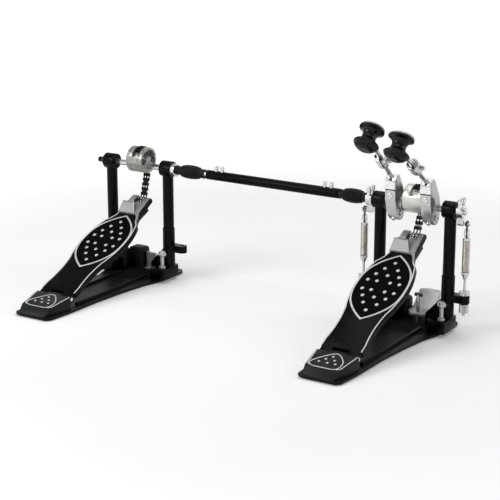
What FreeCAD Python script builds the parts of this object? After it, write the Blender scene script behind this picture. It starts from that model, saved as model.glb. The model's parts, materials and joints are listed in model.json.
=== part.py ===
import FreeCAD, Part
import math
import os
from FreeCAD import Vector

# Double bass drum pedal: a main pedal with two beaters, and a slave pedal that drives the left beater.
# Millimetres. X runs along the axles, +Y points at the drum, Z is up.
# The origin lies on the floor under the middle of the main axle.

os.makedirs("parts", exist_ok=True)

# Whole object
AXLE_Z = 190.0
POST_SPACING = 116.0
SLAVE_X = -512.0
MAIN_BOARD_DEG = 27.7
SLAVE_BOARD_DEG = 24.1
OVERRUN = 2.0
FLAT_GAP = 0.3
FIT = 0.05
LINKAGE_GAP = 1.45

# Base plate and floor mat, outline as shares of the plate's half width and length
PLATE_HALF = 61.0
PLATE_LENGTH = 334.0
PLATE_FRONT_Y = 45.0
PLATE_T = 3.0
MAT_T = 2.0
MAT_INSET = 3.0
PLATE_CORNER_R = 6.0
PLATE_SHARES = [(0.46, 0.0), (0.57, 0.02), (0.62, 0.15), (0.63, 0.36), (0.70, 0.54), (0.81, 0.70),
                (0.97, 0.80), (1.0, 0.97), (0.86, 1.0)]
RIB_W = 5.0
RIB_H = 4.0
RIB_X_SHARE = 0.42
RIB_SHARES = (0.24, 0.80)
BRIDGE_W = 30.0
BRIDGE_D = 18.0
BRIDGE_TOP_Z = 41.0
BRIDGE_X = -20.5
BRIDGE_Y = 22.0
BRIDGE_ROUND = 6.0
MAIN_BRIDGE_X = -25.1
MAIN_BRIDGE_W = 21.0
MAIN_BRIDGE_TOP_Z = 38.0
TAB_X = 4.8
TAB_W = 19.0
TAB_T = 4.0
TAB_TOP_Z = 33.0

# Heel plate and hinge
HINGE_Z = 19.5
KNUCKLE_R = 6.0
HINGE_PIN_R = 3.0
HINGE_HALF = 31.0
HEEL_KNUCKLE_HALF = 13.0
HEEL_GAP = 0.6
HEEL_SETBACK = 3.0
HEEL_NOSE_IN = 11.0
HEEL_LENGTH = 60.3
HEEL_NOSE_Z = 16.5
HEEL_FRONT_HALF = 26.0
HEEL_BACK_HALF = 34.0
HEEL_CORNER_R = 7.0

# Posts
POST_R = 9.0
GUSSET_INNER = 26.0
GUSSET_TOP_Z = 62.0
GUSSET_LOW_Z = 27.0
GUSSET_BACK = 8.0
GUSSET_FRONT = 12.0
FOOT_IN = 20.0
FOOT_OUT = 9.0
FOOT_BACK = 30.0
FOOT_FRONT = 16.0
FOOT_TOP_Z = 24.0
FOOT_ROUND = 4.0
HOUSING_R = 13.0
HOUSING_W = 20.0
BEARING_R = 9.0
BEARING_W = 14.0
ARM_HALF = 8.0
ARM_Z = 50.5
ARM_T = 11.5
CAP_R = 11.0
CAP_TIP_R = 7.0
CAP_W = 7.0
CAP_KNOB_R = 4.5
CAP_KNOB_W = 9.0

# Spurs
SPUR_Y = -20.0
SPUR_R = 3.75
SPUR_HEAD_R = 6.6
SPUR_HEAD_Z = 46.0
SPUR_HEAD_H = 8.0
SPUR_TIP_H = 4.0
SPUR_FLOOR_GAP = 0.6

# Hoop clamp
CLAMP_X = 7.0
CLAMP_HALF = 17.0
CLAMP_CORNER_R = 10.0
CLAMP_TAIL_R = 8.0
CLAMP_PIVOT_Y = 22.0
CLAMP_PIVOT_Z = 18.0
CLAMP_PIN_R = 2.5
CLAMP_EAR_T = 4.0
CLAMP_EAR_R = 5.5
CLAMP_REACH = 34.0
CLAMP_SHARES = [(-0.62, 0.10), (-0.62, -0.06), (0.10, -0.15), (0.80, 0.58), (1.0, 0.66), (1.0, 0.79),
                (0.68, 0.80), (0.0, 0.16)]
CLAMP_SCREW_Y = 6.0
CLAMP_SCREW_R = 3.0
CLAMP_SCREW_TOP_Z = 49.0
CLAMP_HANDLE_R = 2.5
CLAMP_HANDLE_HALF = 6.0

# Footboard in its own frame: along from the hinge, up from the hinge axis
BOARD_HALF = 42.0
BOARD_SHARE = 0.71856
BOARD_TOP = 6.0
BOARD_SKIN = 3.5
BOARD_SKIRT = 10.0
BOARD_WALL = 4.0
BOARD_START = 8.5
EDGE_SHARES = [(0.79, 0.09), (0.735, 0.22), (0.81, 0.36), (1.0, 0.575), (0.79, 0.79), (0.62, 0.83),
               (0.50, 0.89)]

# Toe plate with its clevis
TOE_LAP = 27.0
TOE_OVERHANG = 4.0
TOE_T = 3.5
TOE_HALF = 21.0
TOE_NOSE_HALF = 20.0
TOE_WALL_LEFT = -19.0
TOE_WALL_RIGHT = 4.0
TOE_WALL_LAP = 23.0
TOE_WALL_H = 12.5
TOE_WALL_SHARES = [(0.0, 0.0), (1.0, 1.0), (1.2, 1.0), (1.45, 0.0)]
LUG_IN = 10.0
LUG_T = 10.0
LUG_SHARES = [(0.0, 0.0), (0.55, -0.25), (1.0, 0.0), (1.0, 0.22), (0.82, 0.34), (0.30, 0.34)]
LUG_LAP = 8.0
LUG_LENGTH = 26.0
HORN_IN = 6.3
HORN_T = 8.5
HORN_LAP = 24.0
HORN_LENGTH = 40.0
HORN_SHARES = [(0.0, 0.0), (0.55, -0.20), (1.0, -0.14), (1.0, 0.03), (0.88, 0.09), (0.52, 0.04)]
CLEVIS_AHEAD = 12.0
CLEVIS_UP = 8.0
CLEVIS_R = 2.0
CLEVIS_HEAD_R = 3.4
CLEVIS_HEAD_W = 2.0
CLEVIS_IN_HORN = 5.0

# Axles, cam and hubs
AXLE_R = 5.0
CAM_R = 21.6
CAM_LIFT = 9.5
CAM_HALF = 15.5
CAM_X = 3.5
CHAIN_X = 5.5
GROOVE_HALF = 6.8
GROOVE_R = 15.5
DRUM_DEGS = [158, 205, 252, 298]
POCKET_R = 4.6
POCKET_RING = 12.4
POCKET_D = 6.0
POCKET_DEGS = (0, 60, 120, 180)
HUB_W = 17.0
RIGHT_HUB_X = 28.5
LEFT_HUB_X = -29.5
HUB_TOP = 46.0
HUB_SHARES = [(-0.43, -0.22), (-0.54, 0.15), (-0.54, 0.52), (-0.58, 0.80), (-0.53, 0.95), (-0.37, 1.03),
              (-0.26, 0.95), (0.08, 0.40), (0.17, 0.08), (0.13, -0.36), (0.0, -0.54), (-0.17, -0.54),
              (-0.33, -0.40)]
HUB_BOSS_R = 12.5
HUB_BOSS_W = 3.4
PILOT_X = -29.2
PILOT_GAP = 1.0
AXLE_TAIL = 25.0
COLLAR_R = 11.0
COLLAR_W = 8.0

# Rocker clamps that pull the springs
ROCKER_R = 10.0
ROCKER_IN = 12.5
ROCKER_W = 9.5
ROCKER_ARM_HALF = 4.0
ROCKER_PIN_DROP = 18.0
ROCKER_PIN_R = 2.0
ROCKER_PIN_END = 32.0
ROCKER_BOLT_R = 3.0
ROCKER_BOLT_OUT = 7.0
ROCKER_BOLT_TOP = 19.0

# Springs
SPRING_OUT = 27.0
COIL_R = 5.1
WIRE_R = 0.75
COIL_TURNS = 20
COIL_LOW_Z = 99.0
COIL_HIGH_Z = 147.0
SPRING_CAP_R = 6.0
SPRING_CAP_H = 3.5
SPRING_CONE_H = 9.0
SPRING_ROD_R = 2.0
SPRING_ROD_LOW_Z = 31.0
HOOK_RING_T = 1.4
HOOK_RING_W = 4.0
HOOK_STEM_R = 1.4
NUT_GAP = 1.0
TOP_NUT_R = 8.2
TOP_NUT_H = 6.0
LOW_NUT_R = 7.2
LOW_NUT_H = 14.0
ROD_SWING_GAP = 0.9

# Beaters: the rod is clamped near the hub's top and leans back over the player's side
CLAMP_BACK = 14.0
CLAMP_UP = 36.0
RIGHT_LEAN_DEG = 53.7
LEFT_LEAN_DEG = 46.4
RIGHT_REACH = 128.0
LEFT_REACH = 115.0
BEATER_ROD_R = 3.9
ROD_TAIL = 16.0
ROD_IN_HEAD = 6.0
LOCK_SHARE = 0.49
LOCK_R = 9.0
LOCK_W = 20.0
LOCK_SCREW_R = 2.6
LOCK_SCREW_L = 17.0
HEAD_R = 19.8
HEAD_BACK = 21.0
HEAD_FRONT = 15.0
HEAD_DISC_T = 6.5
HEAD_EDGE = 3.0
HEAD_FLARE = 6.0
HEAD_NECK_R = 11.5
FELT_R = 19.0
FELT_RIM = 2.5
FELT_CROWN = 6.0

# Chain: two rows of rollers between three outer plates
PITCH = 8.0
PITCH_R = 19.8
PLATE_H = 5.8
WAIST_H = 2.8
CHAIN_HALF = 5.4
OUTER_T = 0.8
MIDDLE_T = 1.2
ROLLER_R = 2.0
INNER_T = 0.75
CHAIN_PIN_R = 1.15
CHAIN_PIN_FIT = 0.15
PIN_STUB = 0.4
WRAP_LINKS = 5
END_LINK_MIN = 10.5
EYE_WALL = 2.0

# Drive shaft between the pedals
MAIN_JOINT_OUT = 47.0
SLAVE_JOINT_OUT = 46.0
TUBE_LEFT_GAP = 34.0
TUBE_RIGHT_GAP = 25.5
TUBE_R = 7.8
ROD_IN_TUBE = 124.0
BORE_PAST_ROD = 10.0
TUBE_BOLTS_LEFT = (17.0, 28.0)
TUBE_BOLTS_RIGHT = (25.5, 13.5)
TUBE_BOLT_R = 3.0
TUBE_BOLT_H = 8.0
FORK_BACK = 11.0
FORK_BASE_T = 3.0
FORK_BASE_R = 7.2
FORK_TIP = 4.4
FORK_IN = 4.8
FORK_OUT = 7.2
FORK_HALF = 3.8
CROSS_PIN_R = 1.4
CROSS_HALF = 3.0
CROSS_REACH = 7.0
BOOT_BORE_R = 8.7
BOOT_SHOULDER_R = 7.7
BOOT_R = 11.5
BOOT_RIB = 0.8
BOOT_DROP = 2.4
BOOT_SHOULDERS = (2.5, 6.0)
BOOT_RIBS = 7
BOOT_NECK_R = 7.2
BOOT_NECK_GAP = 0.05
MAIN_BOOT_OUTS = (-23.5, -16.5, 16.5, 22.6)
SLAVE_BOOT_OUTS = (-26.6, -17.0, 19.0, 28.0)

PLATE_TOP = MAT_T + PLATE_T
PLATE_BACK_Y = PLATE_FRONT_Y - PLATE_LENGTH
HEEL_FOOT_Y = PLATE_BACK_Y + HEEL_SETBACK
HEEL_NOSE_Y = HEEL_FOOT_Y + HEEL_NOSE_IN
HINGE_Y = HEEL_FOOT_Y + HEEL_LENGTH
BOARD_LENGTH = BOARD_SHARE * PLATE_LENGTH
CLEVIS_ALONG = BOARD_LENGTH + CLEVIS_AHEAD
POST_X = POST_SPACING / 2
MAIN_JOINT_X = -POST_X - MAIN_JOINT_OUT
SLAVE_JOINT_X = SLAVE_X + POST_X + SLAVE_JOINT_OUT
TUBE_LEFT_X = SLAVE_JOINT_X + TUBE_LEFT_GAP
TUBE_RIGHT_X = MAIN_JOINT_X - TUBE_RIGHT_GAP
INNER_ROD_END_X = TUBE_LEFT_X + ROD_IN_TUBE
CAM_Z = AXLE_Z + CAM_LIFT
LINK_STEP = 2 * math.asin(PITCH / 2 / PITCH_R)
EYE_R = CLEVIS_R + LINKAGE_GAP
LUG_X = CHAIN_X - LUG_IN
HORN_X = CHAIN_X + HORN_IN


def save(name, *solids):
    Part.makeCompound(list(solids)).exportStep("parts/" + name + ".step")


def box(x0, x1, y0, y1, z0, z1):
    return Part.makeBox(x1 - x0, y1 - y0, z1 - z0, Vector(x0, y0, z0))


def rod_x(radius, x0, x1, y=0.0, z=AXLE_Z):
    return Part.makeCylinder(radius, x1 - x0, Vector(x0, y, z), Vector(1, 0, 0))


def rod_z(radius, x, y, z0, z1):
    return Part.makeCylinder(radius, z1 - z0, Vector(x, y, z0))


def fuse(first, *others):
    return first.fuse(list(others)).removeSplitter()


def polygon_face(points):
    return Part.Face(Part.makePolygon(points + points[:1]))


def prism_x(yz_points, x0, x1):
    face = polygon_face([Vector(x0, y, z) for y, z in yz_points])
    return face.extrude(Vector(x1 - x0, 0, 0))


def scaled(shares, size, y=0.0, z=0.0):
    return [(y + a * size, z + b * size) for a, b in shares]


def round_upright_edges(solid, radius):
    boxes = [(e, e.BoundBox) for e in solid.Edges]
    edges = [e for e, b in boxes if b.ZLength > FIT and b.XLength < FIT and b.YLength < FIT]
    return solid.makeFillet(radius, edges)


def plate_outline(x, inset, z0, z1):
    half = PLATE_HALF - inset
    start = PLATE_BACK_Y + inset
    length = PLATE_LENGTH - 2 * inset
    right = [Vector(x + h * half, start + s * length, z0) for h, s in PLATE_SHARES]
    left = [Vector(x - h * half, start + s * length, z0) for h, s in reversed(PLATE_SHARES)]
    return polygon_face(right + left).extrude(Vector(0, 0, z1 - z0))


def base_plate(x):
    plate = round_upright_edges(plate_outline(x, 0, MAT_T, PLATE_TOP), PLATE_CORNER_R)
    ribs = []
    for side in (-1, 1):
        middle = x + side * RIB_X_SHARE * PLATE_HALF
        y0, y1 = [PLATE_BACK_Y + s * PLATE_LENGTH for s in RIB_SHARES]
        ribs.append(box(middle - RIB_W / 2, middle + RIB_W / 2, y0, y1, PLATE_TOP, PLATE_TOP + RIB_H))
    holes = [rod_z(SPUR_R + FLAT_GAP, x + s * POST_X, SPUR_Y, 0, FOOT_TOP_Z) for s in (-1, 1)]
    return fuse(plate, *ribs).cut(holes)


def clamp_ears():
    ears = []
    for side in (-1, 1):
        near = CLAMP_X + side * (CLAMP_HALF + FLAT_GAP)
        x0, x1 = sorted((near, near + side * CLAMP_EAR_T))
        y0, y1 = CLAMP_PIVOT_Y - CLAMP_EAR_R, CLAMP_PIVOT_Y + CLAMP_EAR_R
        foot = box(x0, x1, y0, y1, PLATE_TOP, CLAMP_PIVOT_Z)
        eye = rod_x(CLAMP_EAR_R, x0, x1, CLAMP_PIVOT_Y, CLAMP_PIVOT_Z)
        bore = rod_x(CLAMP_PIN_R + FIT, x0, x1, CLAMP_PIVOT_Y, CLAMP_PIVOT_Z)
        ears.append(fuse(foot, eye).cut(bore))
    return ears


def bridge(x, width, top_z):
    half_w, half_d = width / 2, BRIDGE_D / 2
    block = box(x - half_w, x + half_w, BRIDGE_Y - half_d, BRIDGE_Y + half_d, PLATE_TOP, top_z)
    boxes = [(e, e.BoundBox) for e in block.Edges]
    return block.makeFillet(BRIDGE_ROUND, [e for e, b in boxes if b.ZMin > top_z - FIT and b.YLength > half_d])


def slave_tab():
    x0, x1 = SLAVE_X + TAB_X - TAB_W / 2, SLAVE_X + TAB_X + TAB_W / 2
    return box(x0, x1, BRIDGE_Y - TAB_T / 2, BRIDGE_Y + TAB_T / 2, PLATE_TOP, TAB_TOP_Z)


def floor_mat(x):
    return round_upright_edges(plate_outline(x, MAT_INSET, 0, MAT_T), PLATE_CORNER_R)


def heel_plate(x):
    back_y = HINGE_Y - KNUCKLE_R - HEEL_GAP
    side = [(HEEL_FOOT_Y, PLATE_TOP), (HEEL_NOSE_Y, HEEL_NOSE_Z), (back_y, HINGE_Z + KNUCKLE_R),
            (back_y, PLATE_TOP)]
    wedge = prism_x(side, x - HEEL_BACK_HALF, x + HEEL_BACK_HALF)
    top_z = HINGE_Z + KNUCKLE_R + OVERRUN
    plan = polygon_face([Vector(x - HEEL_FRONT_HALF, HEEL_FOOT_Y, PLATE_TOP),
                         Vector(x + HEEL_FRONT_HALF, HEEL_FOOT_Y, PLATE_TOP),
                         Vector(x + HEEL_BACK_HALF, back_y, PLATE_TOP),
                         Vector(x - HEEL_BACK_HALF, back_y, PLATE_TOP)])
    plan = plan.extrude(Vector(0, 0, top_z - PLATE_TOP))
    front = [e for e in plan.Edges if e.BoundBox.ZLength > PLATE_TOP and e.BoundBox.YMax < HEEL_NOSE_Y]
    body = plan.makeFillet(HEEL_CORNER_R, front).common(wedge)
    x0, x1 = x - HEEL_KNUCKLE_HALF, x + HEEL_KNUCKLE_HALF
    web = box(x0, x1, back_y, HINGE_Y, PLATE_TOP, HINGE_Z + KNUCKLE_R)
    barrel = rod_x(KNUCKLE_R, x0, x1, HINGE_Y, HINGE_Z)
    bore = rod_x(HINGE_PIN_R + FIT, x0, x1, HINGE_Y, HINGE_Z)
    return fuse(body, web, barrel).cut(bore)


def post(x, side, has_arm, has_cap):
    px = x + side * POST_X
    foot_xs = sorted((px - side * FOOT_IN, px + side * FOOT_OUT))
    foot = box(*foot_xs, -FOOT_BACK, FOOT_FRONT, PLATE_TOP, FOOT_TOP_Z)
    foot = round_upright_edges(foot, FOOT_ROUND)
    inner = x + side * GUSSET_INNER
    gusset = polygon_face([Vector(px, -GUSSET_BACK, PLATE_TOP), Vector(inner, -GUSSET_BACK, PLATE_TOP),
                           Vector(inner, -GUSSET_BACK, GUSSET_LOW_Z), Vector(px, -GUSSET_BACK, GUSSET_TOP_Z)])
    gusset = gusset.extrude(Vector(0, GUSSET_BACK + GUSSET_FRONT, 0))
    column = rod_z(POST_R, px, 0, FOOT_TOP_Z, AXLE_Z)
    housing = rod_x(HOUSING_R, px - HOUSING_W / 2, px + HOUSING_W / 2)
    pieces = [gusset, column, housing]
    if has_arm:
        tip = px + side * (SPRING_OUT + ARM_HALF)
        arm_xs = sorted((px, tip - side * ARM_HALF))
        pieces.append(box(arm_xs[0], arm_xs[1], -ARM_HALF, ARM_HALF, ARM_Z, ARM_Z + ARM_T))
        pieces.append(rod_z(ARM_HALF, px + side * SPRING_OUT, 0, ARM_Z, ARM_Z + ARM_T))
    cutters = [rod_z(SPUR_R + FIT, px, SPUR_Y, 0, FOOT_TOP_Z)]
    if has_arm:
        cutters.append(rod_z(SPRING_ROD_R + ROD_SWING_GAP, px + side * SPRING_OUT, 0, ARM_Z, ARM_Z + ARM_T))
    cutters.append(rod_x(BEARING_R, px - HOUSING_W / 2, px + HOUSING_W / 2))
    solid = fuse(foot, *pieces).cut(cutters)
    if has_cap:
        face = px + side * HOUSING_W / 2
        knob_xs = sorted((face + side * CAP_W, face + side * (CAP_W + CAP_KNOB_W)))
        cap = Part.makeCone(CAP_R, CAP_TIP_R, CAP_W, Vector(face, 0, AXLE_Z), Vector(side, 0, 0))
        solid = fuse(solid, cap, rod_x(CAP_KNOB_R, *knob_xs))
    return solid


def bearing(x, side):
    px = x + side * POST_X
    ring = rod_x(BEARING_R, px - BEARING_W / 2, px + BEARING_W / 2)
    return ring.cut(rod_x(AXLE_R + FIT, px - BEARING_W / 2, px + BEARING_W / 2))


def spur(x, side):
    px = x + side * POST_X
    low = MAT_T + SPUR_FLOOR_GAP
    tip = Part.makeCone(SPUR_R / 2, SPUR_R, SPUR_TIP_H, Vector(px, SPUR_Y, low))
    shaft = rod_z(SPUR_R, px, SPUR_Y, low + SPUR_TIP_H, SPUR_HEAD_Z)
    head = rod_z(SPUR_HEAD_R, px, SPUR_Y, SPUR_HEAD_Z, SPUR_HEAD_Z + SPUR_HEAD_H)
    return fuse(tip, shaft, head)


def hoop_clamp_jaw():
    side = scaled(CLAMP_SHARES, CLAMP_REACH, CLAMP_PIVOT_Y, CLAMP_PIVOT_Z)
    x0, x1 = CLAMP_X - CLAMP_HALF, CLAMP_X + CLAMP_HALF
    plate = prism_x(side, x0, x1)
    boxes = [(e, e.BoundBox) for e in plate.Edges]
    tip_y = CLAMP_PIVOT_Y + CLAMP_REACH - FIT
    corners = [e for e, b in boxes if b.YMin > tip_y and b.XLength < FIT]
    tail_y = CLAMP_PIVOT_Y + CLAMP_SHARES[0][0] * CLAMP_REACH + FIT
    tail = [e for e, b in boxes if b.YMax < tail_y and b.XLength < FIT]
    plate = plate.makeFillet(CLAMP_CORNER_R, corners).makeFillet(CLAMP_TAIL_R, tail)
    barrel = rod_x(CLAMP_EAR_R, x0, x1, CLAMP_PIVOT_Y, CLAMP_PIVOT_Z)
    ear = FLAT_GAP + CLAMP_EAR_T
    pin = rod_x(CLAMP_PIN_R, x0 - ear, x1 + ear, CLAMP_PIVOT_Y, CLAMP_PIVOT_Z)
    thread = rod_z(CLAMP_SCREW_R + FIT, CLAMP_X, CLAMP_SCREW_Y, PLATE_TOP, CLAMP_SCREW_TOP_Z)
    return fuse(plate, barrel, pin).cut(thread)


def hoop_clamp_screw():
    low = PLATE_TOP + FLAT_GAP
    shaft = rod_z(CLAMP_SCREW_R, CLAMP_X, CLAMP_SCREW_Y, low, CLAMP_SCREW_TOP_Z)
    x0, x1 = CLAMP_X - CLAMP_HANDLE_HALF, CLAMP_X + CLAMP_HANDLE_HALF
    bar = rod_x(CLAMP_HANDLE_R, x0, x1, CLAMP_SCREW_Y, CLAMP_SCREW_TOP_Z)
    return fuse(shaft, bar)


def on_board(solid, x, degrees):
    solid.rotate(Vector(0, 0, 0), Vector(1, 0, 0), degrees)
    solid.translate(Vector(x, HINGE_Y, HINGE_Z))
    return solid


def board_face(inset, start, up):
    end = BOARD_LENGTH - inset
    rights = [Vector(h * BOARD_HALF - inset, s * BOARD_LENGTH, up) for h, s in EDGE_SHARES]
    lefts = [Vector(-p.x, p.y, p.z) for p in rights]
    foot_right = Vector(rights[0].x, start, up)
    foot_left = Vector(lefts[0].x, start, up)
    nose_right = Vector(rights[-1].x, end, up)
    nose_left = Vector(lefts[-1].x, end, up)
    sides = [(foot_left, foot_right), (foot_right, rights[0])]
    edges = [Part.LineSegment(a, b).toShape() for a, b in sides]
    edges += [Part.Arc(*rights[i:i + 3]).toShape() for i in (0, 2, 4)]
    sides = [(rights[-1], nose_right), (nose_right, nose_left), (nose_left, lefts[-1])]
    edges += [Part.LineSegment(a, b).toShape() for a, b in sides]
    edges += [Part.Arc(*reversed(lefts[i:i + 3])).toShape() for i in (4, 2, 0)]
    edges.append(Part.LineSegment(lefts[0], foot_left).toShape())
    return Part.Face(Part.Wire(edges))


def footboard(x, degrees):
    shell = board_face(0, BOARD_START, BOARD_TOP - BOARD_SKIRT).extrude(Vector(0, 0, BOARD_SKIRT))
    hollow = board_face(BOARD_WALL, BOARD_START + BOARD_WALL, BOARD_TOP - BOARD_SKIRT)
    shell = shell.cut(hollow.extrude(Vector(0, 0, BOARD_SKIRT - BOARD_SKIN)))
    knuckles = []
    for side in (-1, 1):
        x0, x1 = sorted((side * (HEEL_KNUCKLE_HALF + FLAT_GAP), side * HINGE_HALF))
        barrel = rod_x(KNUCKLE_R, x0, x1, 0, 0)
        tongue = box(x0, x1, 0, BOARD_START + BOARD_WALL, BOARD_TOP - BOARD_SKIRT, BOARD_TOP)
        knuckles.append(fuse(barrel, tongue).cut(rod_x(HINGE_PIN_R, x0, x1, 0, 0)))
    return on_board(fuse(shell, *knuckles), x, degrees)


def toe_plate(x, degrees):
    up = BOARD_TOP
    start = BOARD_LENGTH - TOE_LAP
    end = BOARD_LENGTH + TOE_OVERHANG
    base = polygon_face([Vector(-TOE_HALF, start, up), Vector(TOE_HALF, start, up),
                         Vector(TOE_NOSE_HALF, end, up), Vector(-TOE_NOSE_HALF, end, up)])
    lug = scaled(LUG_SHARES, LUG_LENGTH, BOARD_LENGTH - LUG_LAP, up)
    lug = prism_x(lug, LUG_X - LUG_T, LUG_X)
    horn = scaled(HORN_SHARES, HORN_LENGTH, BOARD_LENGTH - HORN_LAP, up + TOE_T)
    horn = prism_x(horn, HORN_X, HORN_X + HORN_T)
    wall = scaled(TOE_WALL_SHARES, TOE_WALL_H, BOARD_LENGTH - TOE_WALL_LAP, up)
    wall = prism_x(wall, TOE_WALL_LEFT, TOE_WALL_RIGHT)
    plate = fuse(base.extrude(Vector(0, 0, TOE_T)), wall, lug, horn)
    board_room = board_face(0, BOARD_START, BOARD_TOP - BOARD_SKIRT).extrude(Vector(0, 0, BOARD_SKIRT))
    eye = rod_x(CLEVIS_R, LUG_X - LUG_T, HORN_X + CLEVIS_IN_HORN, CLEVIS_ALONG, CLEVIS_UP)
    return on_board(plate.cut([board_room, eye]), x, degrees)


def hinge_pins(x, degrees):
    hinge = rod_x(HINGE_PIN_R, -HINGE_HALF, HINGE_HALF, 0, 0)
    face = LUG_X - LUG_T
    clevis = rod_x(CLEVIS_R, face, HORN_X + CLEVIS_IN_HORN, CLEVIS_ALONG, CLEVIS_UP)
    head = rod_x(CLEVIS_HEAD_R, face - CLEVIS_HEAD_W, face, CLEVIS_ALONG, CLEVIS_UP)
    return on_board(hinge, x, degrees), on_board(fuse(clevis, head), x, degrees)


def cam(pedal_x):
    x = pedal_x + CAM_X
    low, high = pedal_x + CHAIN_X - GROOVE_HALF, pedal_x + CHAIN_X + GROOVE_HALF
    disc = rod_x(CAM_R, x - CAM_HALF, x + CAM_HALF, 0, CAM_Z)
    groove = rod_x(CAM_R + OVERRUN, low, high, 0, CAM_Z).cut(rod_x(GROOVE_R, low, high, 0, CAM_Z))
    turns = [math.radians(d) for d in DRUM_DEGS]
    drum = [(2 * CAM_R * math.cos(a), CAM_Z + 2 * CAM_R * math.sin(a)) for a in turns]
    groove = groove.cut(prism_x([(0, CAM_Z)] + drum, low, high))
    cutters = [groove, rod_x(AXLE_R, x - CAM_HALF, x + CAM_HALF)]
    for degrees in POCKET_DEGS:
        angle = math.radians(degrees)
        y = POCKET_RING * math.cos(angle)
        z = CAM_Z + POCKET_RING * math.sin(angle)
        cutters.append(rod_x(POCKET_R, x + CAM_HALF - POCKET_D, x + CAM_HALF, y, z))
        cutters.append(rod_x(POCKET_R, x - CAM_HALF, x - CAM_HALF + POCKET_D, y, z))
    return disc.cut(cutters)


def beater_place(solid, x, lean):
    solid.rotate(Vector(0, 0, 0), Vector(1, 0, 0), lean)
    solid.translate(Vector(x, -CLAMP_BACK, AXLE_Z + CLAMP_UP))
    return solid


def hub(x, lean):
    body = prism_x(scaled(HUB_SHARES, HUB_TOP, 0, AXLE_Z), x - HUB_W / 2, x + HUB_W / 2)
    socket = beater_place(rod_z(BEATER_ROD_R + FIT, 0, 0, -HUB_TOP, HUB_TOP), x, lean)
    return body.cut(socket)


def right_hub():
    return hub(RIGHT_HUB_X, RIGHT_LEAN_DEG).cut(rod_x(AXLE_R, RIGHT_HUB_X - HUB_W, RIGHT_HUB_X + HUB_W))


def left_hub():
    face = LEFT_HUB_X + HUB_W / 2
    body = fuse(hub(LEFT_HUB_X, LEFT_LEAN_DEG), rod_x(HUB_BOSS_R, face, face + HUB_BOSS_W))
    split = PILOT_X - PILOT_GAP
    shaft = rod_x(AXLE_R, LEFT_HUB_X - HUB_W, split)
    pilot = rod_x(AXLE_R + FIT, split, face + HUB_BOSS_W)
    return body.cut([shaft, pilot])


def rocker(side):
    x0, x1 = sorted((side * (POST_X + ROCKER_IN), side * (POST_X + ROCKER_IN + ROCKER_W)))
    pin_z = AXLE_Z - ROCKER_PIN_DROP
    ring = rod_x(ROCKER_R, x0, x1)
    arm = box(x0, x1, -ROCKER_ARM_HALF, ROCKER_ARM_HALF, pin_z, AXLE_Z)
    foot = rod_x(ROCKER_ARM_HALF, x0, x1, 0, pin_z)
    pin_xs = sorted((side * (POST_X + ROCKER_IN), side * (POST_X + ROCKER_PIN_END)))
    pin = rod_x(ROCKER_PIN_R, pin_xs[0], pin_xs[1], 0, pin_z)
    ys = (-ROCKER_BOLT_OUT, ROCKER_BOLT_OUT)
    bolts = [rod_z(ROCKER_BOLT_R, (x0 + x1) / 2, y, AXLE_Z, AXLE_Z + ROCKER_BOLT_TOP) for y in ys]
    return fuse(ring, arm, foot, pin, *bolts).cut(rod_x(AXLE_R, x0, x1))


def toe_pin(degrees):
    angle = math.radians(degrees)
    y = HINGE_Y + CLEVIS_ALONG * math.cos(angle) - CLEVIS_UP * math.sin(angle)
    z = HINGE_Z + CLEVIS_ALONG * math.sin(angle) + CLEVIS_UP * math.cos(angle)
    return Vector(0, y, z)


def chain_route(degrees):
    # Pins over the cam from the point where the chain leaves it, and pins of the run down to the toe.
    toe = toe_pin(degrees)
    away = Vector(0, 0, CAM_Z) - toe
    length = math.sqrt(away.Length ** 2 - PITCH_R ** 2)
    direction = math.atan2(away.z, away.y) - math.asin(PITCH_R / away.Length)
    leave = toe + Vector(0, math.cos(direction), math.sin(direction)) * length
    start = math.atan2(leave.z - CAM_Z, leave.y)
    turns = [start + i * LINK_STEP for i in range(WRAP_LINKS + 2)]
    over = [Vector(0, PITCH_R * math.cos(t), CAM_Z + PITCH_R * math.sin(t)) for t in turns]
    count = int((length - END_LINK_MIN) / PITCH)
    count -= 1 - count % 2
    run = [leave + (toe - leave) * (i * PITCH / length) for i in range(count + 1)]
    return over, run + [toe]


def chain_plate(length, end_r, x0, x1):
    half = PLATE_H / 2
    bar = box(x0, x1, 0, length, -WAIST_H / 2, WAIST_H / 2)
    return fuse(bar, rod_x(half, x0, x1, 0, 0), rod_x(end_r, x0, x1, length, 0))


def place_link(solid, start, end):
    way = end - start
    solid.rotate(Vector(0, 0, 0), Vector(1, 0, 0), math.degrees(math.atan2(way.z, way.y)))
    solid.translate(start)
    return solid


def inner_link(x, start, end):
    low = MIDDLE_T / 2 + FLAT_GAP
    high = CHAIN_HALF - OUTER_T - FLAT_GAP
    length = (end - start).Length
    rows = []
    for side in (-1, 1):
        pieces = []
        for a, b in ((low, low + INNER_T), (high - INNER_T, high)):
            x0, x1 = sorted((x + side * a, x + side * b))
            pieces.append(chain_plate(length, PLATE_H / 2, x0, x1))
        x0, x1 = sorted((x + side * low, x + side * high))
        pieces += [rod_x(ROLLER_R, x0, x1, y, 0) for y in (0, length)]
        bores = [rod_x(CHAIN_PIN_R + CHAIN_PIN_FIT, x0, x1, y, 0) for y in (0, length)]
        rows.append(place_link(fuse(*pieces).cut(bores), start, end))
    return rows


def chain_pin(x, y, z):
    half = CHAIN_HALF + PIN_STUB
    return rod_x(CHAIN_PIN_R, x - half, x + half, y, z)


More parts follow.
